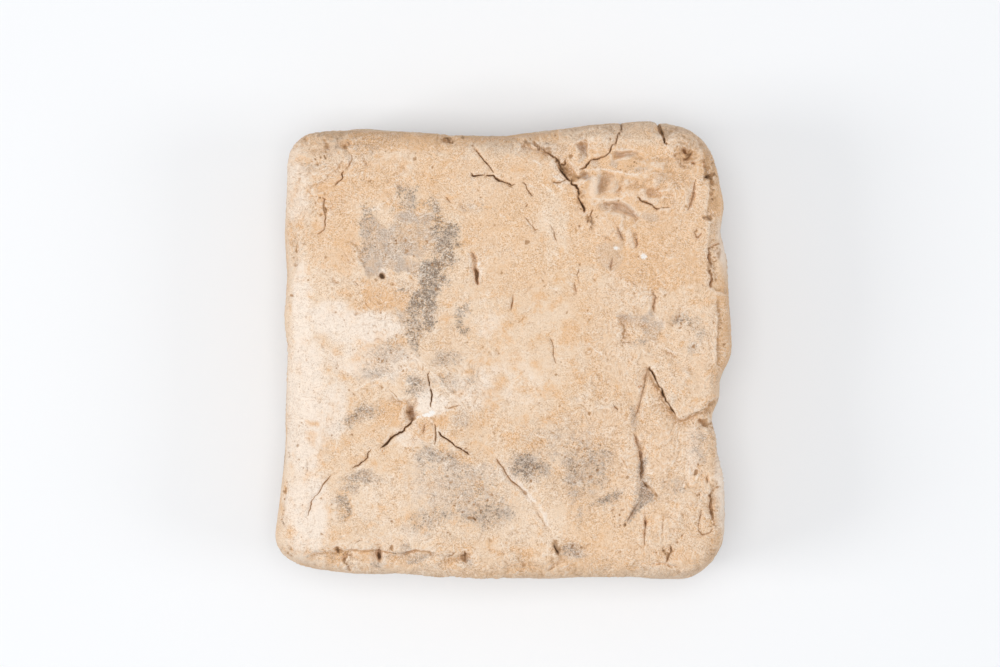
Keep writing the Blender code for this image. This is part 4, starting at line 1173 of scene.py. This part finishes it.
class Nodes:
    """Short calls for adding shader nodes to one tree."""

    def __init__(self, tree):
        self.tree = tree

    def add(self, kind, inputs=(), **settings):
        node = self.tree.nodes.new(kind)
        for name, value in settings.items():
            setattr(node, name, value)
        for name, value in dict(inputs).items():
            self.put(value, node.inputs[name])
        return node

    def put(self, value, socket):
        if isinstance(value, bpy.types.NodeSocket):
            self.tree.links.new(value, socket)
        else:
            socket.default_value = value

    def mask(self, name):
        return self.add("ShaderNodeAttribute", attribute_name=name).outputs["Fac"]

    def math(self, operation, first, second):
        return self.add("ShaderNodeMath", {0: first, 1: second}, operation=operation).outputs[0]

    def times(self, first, second):
        return self.math("MULTIPLY", first, second)

    def average(self, first, second, share):
        """This share of the first value and the rest of the second."""
        return self.math("ADD", self.times(first, share), self.times(second, 1 - share))

    def vector(self, operation, *values):
        inputs = dict(enumerate(values))
        return self.add("ShaderNodeVectorMath", inputs, operation=operation).outputs[0]

    def ranged(self, value, low, high, first, last, kind):
        """First where the value is low or less, last where it is high or more."""
        inputs = {"Value": value, "From Min": low, "From Max": high, "To Min": first, "To Max": last}
        return self.add("ShaderNodeMapRange", inputs, interpolation_type=kind).outputs[0]

    def ramp(self, value, low, high, most=1.0):
        """0 below low, most above high and a smooth rise between them."""
        return self.ranged(value, low, high, 0.0, most, "SMOOTHSTEP")

    def noise(self, where, size, detail=3.0, roughness=0.55):
        """Noise from 0 to 1 with bumps of size millimetres."""
        inputs = {"Vector": where, "Scale": 1 / size, "Detail": detail, "Roughness": roughness}
        return self.add("ShaderNodeTexNoise", inputs).outputs["Fac"]

    def drifting(self, where, scale, detail, reach):
        """The places, each moved by noise of this scale times reach millimetres."""
        inputs = {"Vector": where, "Scale": scale, "Detail": detail}
        drift = self.add("ShaderNodeTexNoise", inputs).outputs["Color"]
        return self.vector("MULTIPLY_ADD", drift, (reach, reach, reach), where)

    def stretched(self, where, turn, longer):
        """Places turned about the vertical and drawn out, so that noise on them runs in streaks."""
        inputs = {"Vector": where, "Rotation": (0, 0, turn), "Scale": (1 / longer, 1, 1)}
        return self.add("ShaderNodeMapping", inputs, vector_type="POINT").outputs[0]

    def cells(self, where, size, feature="F1"):
        """Points scattered size millimetres apart: distance to the nearest, and its random colour."""
        inputs = {"Vector": where, "Scale": 1 / size}
        node = self.add("ShaderNodeTexVoronoi", inputs, feature=feature)
        return node.outputs["Distance"], node.outputs.get("Color")

    def dots(self, where, size, radius, share):
        """1 on round dots that lie in about this share of the cells of size millimetres."""
        distance, colour = self.cells(where, size)
        chosen = self.add("ShaderNodeSeparateColor", {"Color": colour}).outputs[0]
        dot = self.ramp(distance, radius / size, 0.5 * radius / size)
        return self.times(dot, self.ramp(chosen, 1.02 - share, 1.08 - share))

    def broken(self, mask, noise, low, high, spread=0.9, most=1.0):
        """A mask with an edge broken up by noise: a ramp of mask + spread * (noise - 0.5)."""
        inputs = {0: noise, 1: spread, 2: -0.5 * spread}
        moved = self.add("ShaderNodeMath", inputs, operation="MULTIPLY_ADD").outputs[0]
        return self.ramp(self.math("ADD", mask, moved), low, high, most)

    def mix(self, factor, first, second):
        node = self.add("ShaderNodeMix", data_type="RGBA", blend_type="MIX")
        for socket, value in ((0, factor), (6, first), (7, second)):
            self.put(value, node.inputs[socket])
        return node.outputs[2]

    def coated(self, colour, *coats):
        """The colour under these coats: each is a factor and the colour that it brings."""
        for factor, coat in coats:
            colour = self.mix(factor, colour, coat)
        return colour

    def shade(self, colour, noise, low, high, dark, light):
        """The colour times dark where noise is at low, and times light where it is at high."""
        return self.vector("MULTIPLY", colour, self.ranged(noise, low, high, dark, light, "LINEAR"))


class Grain:
    """The noises of several sizes that the clay's coats share, on places in millimetres."""

    def __init__(self, nodes):
        place = nodes.add("ShaderNodeTexCoord").outputs["Object"]
        self.place = nodes.vector("MULTIPLY", place, (1 / MM, 1 / MM, 1 / MM))
        self.broad = nodes.noise(self.place, 7.0, 4)
        self.patches = nodes.noise(self.place, 2.0, 4, 0.6)
        self.mottle = nodes.noise(self.place, 0.70, 3, 0.65)
        self.speckle = nodes.noise(self.place, 0.34, 2, 0.6)
        self.finest = nodes.noise(self.place, 0.17, 1, 0.6)
        self.specks = nodes.average(self.speckle, self.patches, 0.75)


def clean_clay(nodes, grain):
    """Peach clay with creamier and more orange places and pale haze, in places also painted light and
    shade, with painted shade and some dirt in its hollows and a painted highlight on raised places.
    """
    colour = nodes.mix(nodes.ramp(grain.broad, 0.35, 0.65), PEACH, CREAM)
    return nodes.coated(
        colour,
        (nodes.ramp(grain.patches, 0.44, 0.64, 0.80), CREAM),
        (nodes.ramp(grain.patches, 0.49, 0.32, 0.85), OCHRE_AND_SHADE_COLOUR),
        # pale haze, and painted highlights on ridges and painted light on the left edge
        (nodes.broken(nodes.mask("haze_and_highlight"), grain.patches, 0.25, 0.85, 0.9, 0.85), HAZE_AND_HIGHLIGHT_COLOUR),
        # orange clay, and the painted shade of the upper edge
        (nodes.broken(nodes.mask("ochre_and_shade"), grain.patches, 0.15, 0.85, 1.1, 0.85), OCHRE_AND_SHADE_COLOUR),
        # painted shade, with some dirt, in the hollows
        (nodes.ramp(nodes.mask("cavity_shade_and_highlight"), 0.1, 1.0, 0.50), RUST),
        # painted highlight on raised places
        (nodes.ramp(nodes.mask("cavity_shade_and_highlight"), -0.15, -1.0, 0.42), PALE),
    )


def stained(nodes, grain, colour):
    """Grey-brown film, painted shade on the facets of the marks, speckled soot and the pale raised lines;
    in places the film and the soot are painted shade and the pale lines painted highlights.
    """
    film_and_shade = nodes.mix(nodes.ramp(nodes.noise(grain.place, 1.5, 4, 0.7), 0.45, 0.55), FILM_AND_SHADE_COLOUR, BROWN_FILM_AND_SHADE_COLOUR)
    film_noise = nodes.average(grain.patches, grain.mottle, 0.5)
    broken_film_and_shade = nodes.broken(nodes.mask("film_and_shade"), film_noise, 0.05, 1.05, 3.0, 0.92)
    flecks = nodes.noise(nodes.stretched(grain.place, 0.5, 1.3), 0.55, 4, 0.80)
    soot_noise = nodes.average(flecks, nodes.noise(grain.place, 0.24, 2, 0.75), 0.55)
    broken_soot_and_shade = nodes.broken(nodes.mask("soot_and_shade"), soot_noise, 0.30, 1.35, 5.6, 0.86)
    return nodes.coated(
        colour,
        # grey-brown film, in places painted shade
        (nodes.times(broken_film_and_shade, nodes.ramp(nodes.mask("film_and_shade"), -0.05, 0.30)), film_and_shade),
        # painted shade on the facets of the marks
        (nodes.ramp(nodes.mask("facet_shade"), 0.0, 1.0, 0.62), FILM_AND_SHADE_COLOUR),
        # speckled soot, in places painted shade
        (nodes.times(broken_soot_and_shade, nodes.ramp(nodes.mask("soot_and_shade"), 0.0, 0.30)), SOOT_AND_SHADE_COLOUR),
        # pale raised lines and scratches, and painted highlights on ridges
        (nodes.broken(nodes.mask("pale_and_highlight"), grain.speckle, 0.1, 0.7, 0.5, 0.7), PALE),
    )


def grained(nodes, grain, colour):
    """Fine grain, crackle, streaks and dots, fainter in calm places."""
    drift = nodes.drifting(grain.place, 0.22, 1.0, 9)
    streaks = nodes.noise(nodes.stretched(drift, 0.9, 8), 0.30, 2, 0.6)
    level_streaks = nodes.noise(nodes.stretched(drift, 0.08, 8), 0.28, 2, 0.6)
    bent = nodes.drifting(grain.place, 1.2, 2.0, 1.1)
    crackle = nodes.cells(bent, 1.7, "DISTANCE_TO_EDGE")[0]
    fine_crackle = nodes.cells(bent, 0.9, "DISTANCE_TO_EDGE")[0]
    less_in_haze_and_highlight = nodes.ramp(nodes.mask("haze_and_highlight"), 1.6, 0.0, 0.52)
    dark_grain = nodes.times(nodes.ramp(grain.finest, 0.52, 0.28), less_in_haze_and_highlight)
    crackled = nodes.ramp(crackle, 0.030, 0.005, 0.28)
    dark_lines = nodes.times(crackled, nodes.ramp(grain.patches, 0.50, 0.62))
    finely_crackled = nodes.ramp(fine_crackle, 0.06, 0.01, 0.28)
    pale_lines = nodes.times(finely_crackled, nodes.ramp(grain.broad, 0.42, 0.60))
    shaded = nodes.shade(colour, grain.mottle, 0.30, 0.70, 0.93, 1.07)
    return nodes.coated(
        nodes.shade(shaded, grain.speckle, 0.30, 0.70, 0.93, 1.06),
        (dark_grain, RUST),
        (nodes.ramp(grain.finest, 0.48, 0.72, 0.54), PALE),
        (dark_lines, RUST),
        (pale_lines, PALE),
        (nodes.ramp(streaks, 0.58, 0.70, 0.42), PALE),
        (nodes.ramp(level_streaks, 0.59, 0.71, 0.42), PALE),
        (nodes.ramp(level_streaks, 0.41, 0.28, 0.40), RUST),
        (nodes.times(nodes.dots(grain.place, 0.62, 0.14, 0.25), 0.25), RUST),
        (nodes.times(nodes.dots(bent, 0.50, 0.15, 0.30), 0.3), PALE),
        (nodes.ramp(grain.specks, 0.385, 0.31, 0.45), RUST),
        (nodes.ramp(nodes.noise(grain.place, 3.4, 3), 0.45, 0.65, 0.55), colour),
        (nodes.times(nodes.mask("calm"), 0.6), colour),
    )


def soiled_and_shaded(nodes, grain, colour):
    """Rust-brown worn places, soil and painted shade in the cracks, in some hollows and at the foot of
    ledges, and the white mineral crust.
    """
    soil_and_shade = nodes.mask("soil_and_shade")
    return nodes.coated(
        colour,
        (nodes.broken(nodes.mask("worn"), grain.specks, 0.75, 1.25, 3.0, 0.55), RUST),
        # soil and painted shade: a rust-brown edge and a dark fill
        (nodes.broken(soil_and_shade, grain.mottle, 0.15, 0.55, 0.45, 0.75), RUST),
        (nodes.ramp(soil_and_shade, 0.45, 0.95, 0.95), SOIL_AND_SHADE_COLOUR),
        (nodes.broken(nodes.mask("mineral"), grain.speckle, 0.25, 0.95, 1.2, 0.85), WHITE),
    )


def clay_material():
    material = bpy.data.materials.new("clay")
    material.use_nodes = True
    shader = material.node_tree.nodes["Principled BSDF"]
    nodes = Nodes(material.node_tree)
    grain = Grain(nodes)
    colour = clean_clay(nodes, grain)
    for layer in (stained, grained, soiled_and_shaded):
        colour = layer(nodes, grain, colour)
    # darker towards the underside, by height alone
    colour = nodes.shade(colour, nodes.mask("darkening_towards_underside"), 0.0, 1.0, 1.0, UNDERSIDE_DARKENING_FACTOR)
    nodes.put(colour, shader.inputs["Base Color"])
    nodes.put(nodes.ranged(grain.mottle, 0.0, 1.0, *ROUGHNESS_RANGE, "LINEAR"), shader.inputs["Roughness"])
    shader.inputs["Specular IOR Level"].default_value = SPECULAR
    height = nodes.average(grain.speckle, grain.finest, 0.6)
    bump = nodes.add("ShaderNodeBump", {"Height": height, "Strength": 1.0, "Distance": BUMP_HEIGHT})
    nodes.put(bump.outputs["Normal"], shader.inputs["Normal"])
    return material


# ---------------------------------------------------------------- studio
CAMERA_LENS = 120.0
CAMERA_SENSOR = 36.0
CAMERA_AIM = (-0.415, 2.353, 10.5)
CAMERA_DISTANCE = 461.3
CAMERA_CLIP = (0.01, 10.0)
FLOOR_SIZE = 4.0
FLOOR_COLOUR = (0.755, 0.755, 0.755, 1)
# A faint white glow lightens the tablet's shade on the floor
FLOOR_GLOW = 0.15
# Lamps: name, place and side in metres, watts
LAMPS = (
    ("overhead", (-0.055, 0.0, 1.20), 0.65, 6.35),
    ("key_from_left", (-0.76, -0.12, 0.54), 0.35, 2.85),
    ("fill_from_right", (0.79, -0.10, 0.62), 0.40, 1.75),
)
LAMP_AIM = (0, 0, 0.01)
AMBIENT_COLOUR = (0.93, 0.985, 1.06, 1)
AMBIENT = 0.40


def make_floor():
    half = FLOOR_SIZE / 2
    corners = [(-half, -half, 0), (half, -half, 0), (half, half, 0), (-half, half, 0)]
    floor = add_object("floor", mesh_from("floor", corners, [(0, 1, 2, 3)]))
    material = bpy.data.materials.new("floor")
    material.use_nodes = True
    inputs = material.node_tree.nodes["Principled BSDF"].inputs
    inputs["Base Color"].default_value = FLOOR_COLOUR
    inputs["Roughness"].default_value = 1.0
    inputs["Specular IOR Level"].default_value = 0.0
    inputs["Emission Color"].default_value = (1, 1, 1, 1)
    inputs["Emission Strength"].default_value = FLOOR_GLOW
    floor.data.materials.append(material)


def softbox(name, place, side, watts):
    light = bpy.data.lights.new(name, "AREA")
    light.shape = "SQUARE"
    light.size = side
    light.energy = watts
    lamp = add_object(name, light)
    lamp.location = place
    way = Vector(LAMP_AIM) - Vector(place)
    lamp.rotation_euler = way.to_track_quat("-Z", "Y").to_euler()


def make_studio():
    for lamp in LAMPS:
        softbox(*lamp)
    world = bpy.data.worlds.new("studio")
    world.use_nodes = True
    background = world.node_tree.nodes["Background"]
    background.inputs["Color"].default_value = AMBIENT_COLOUR
    background.inputs["Strength"].default_value = AMBIENT
    scene = bpy.context.scene
    scene.world = world
    scene.view_settings.view_transform = "Standard"
    scene.view_settings.look = "None"


def make_camera():
    data = bpy.data.cameras.new("camera")
    data.lens = CAMERA_LENS
    data.sensor_width = CAMERA_SENSOR
    data.clip_start, data.clip_end = CAMERA_CLIP
    camera = add_object("camera", data)
    camera.location = Vector(CAMERA_AIM) * MM + Vector((0, 0, CAMERA_DISTANCE * MM))
    bpy.context.scene.camera = camera


make_camera()
make_studio()
make_floor()
tablet = make_tablet()
tablet.data.materials.append(clay_material())
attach(tablet, "root")
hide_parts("tablet")
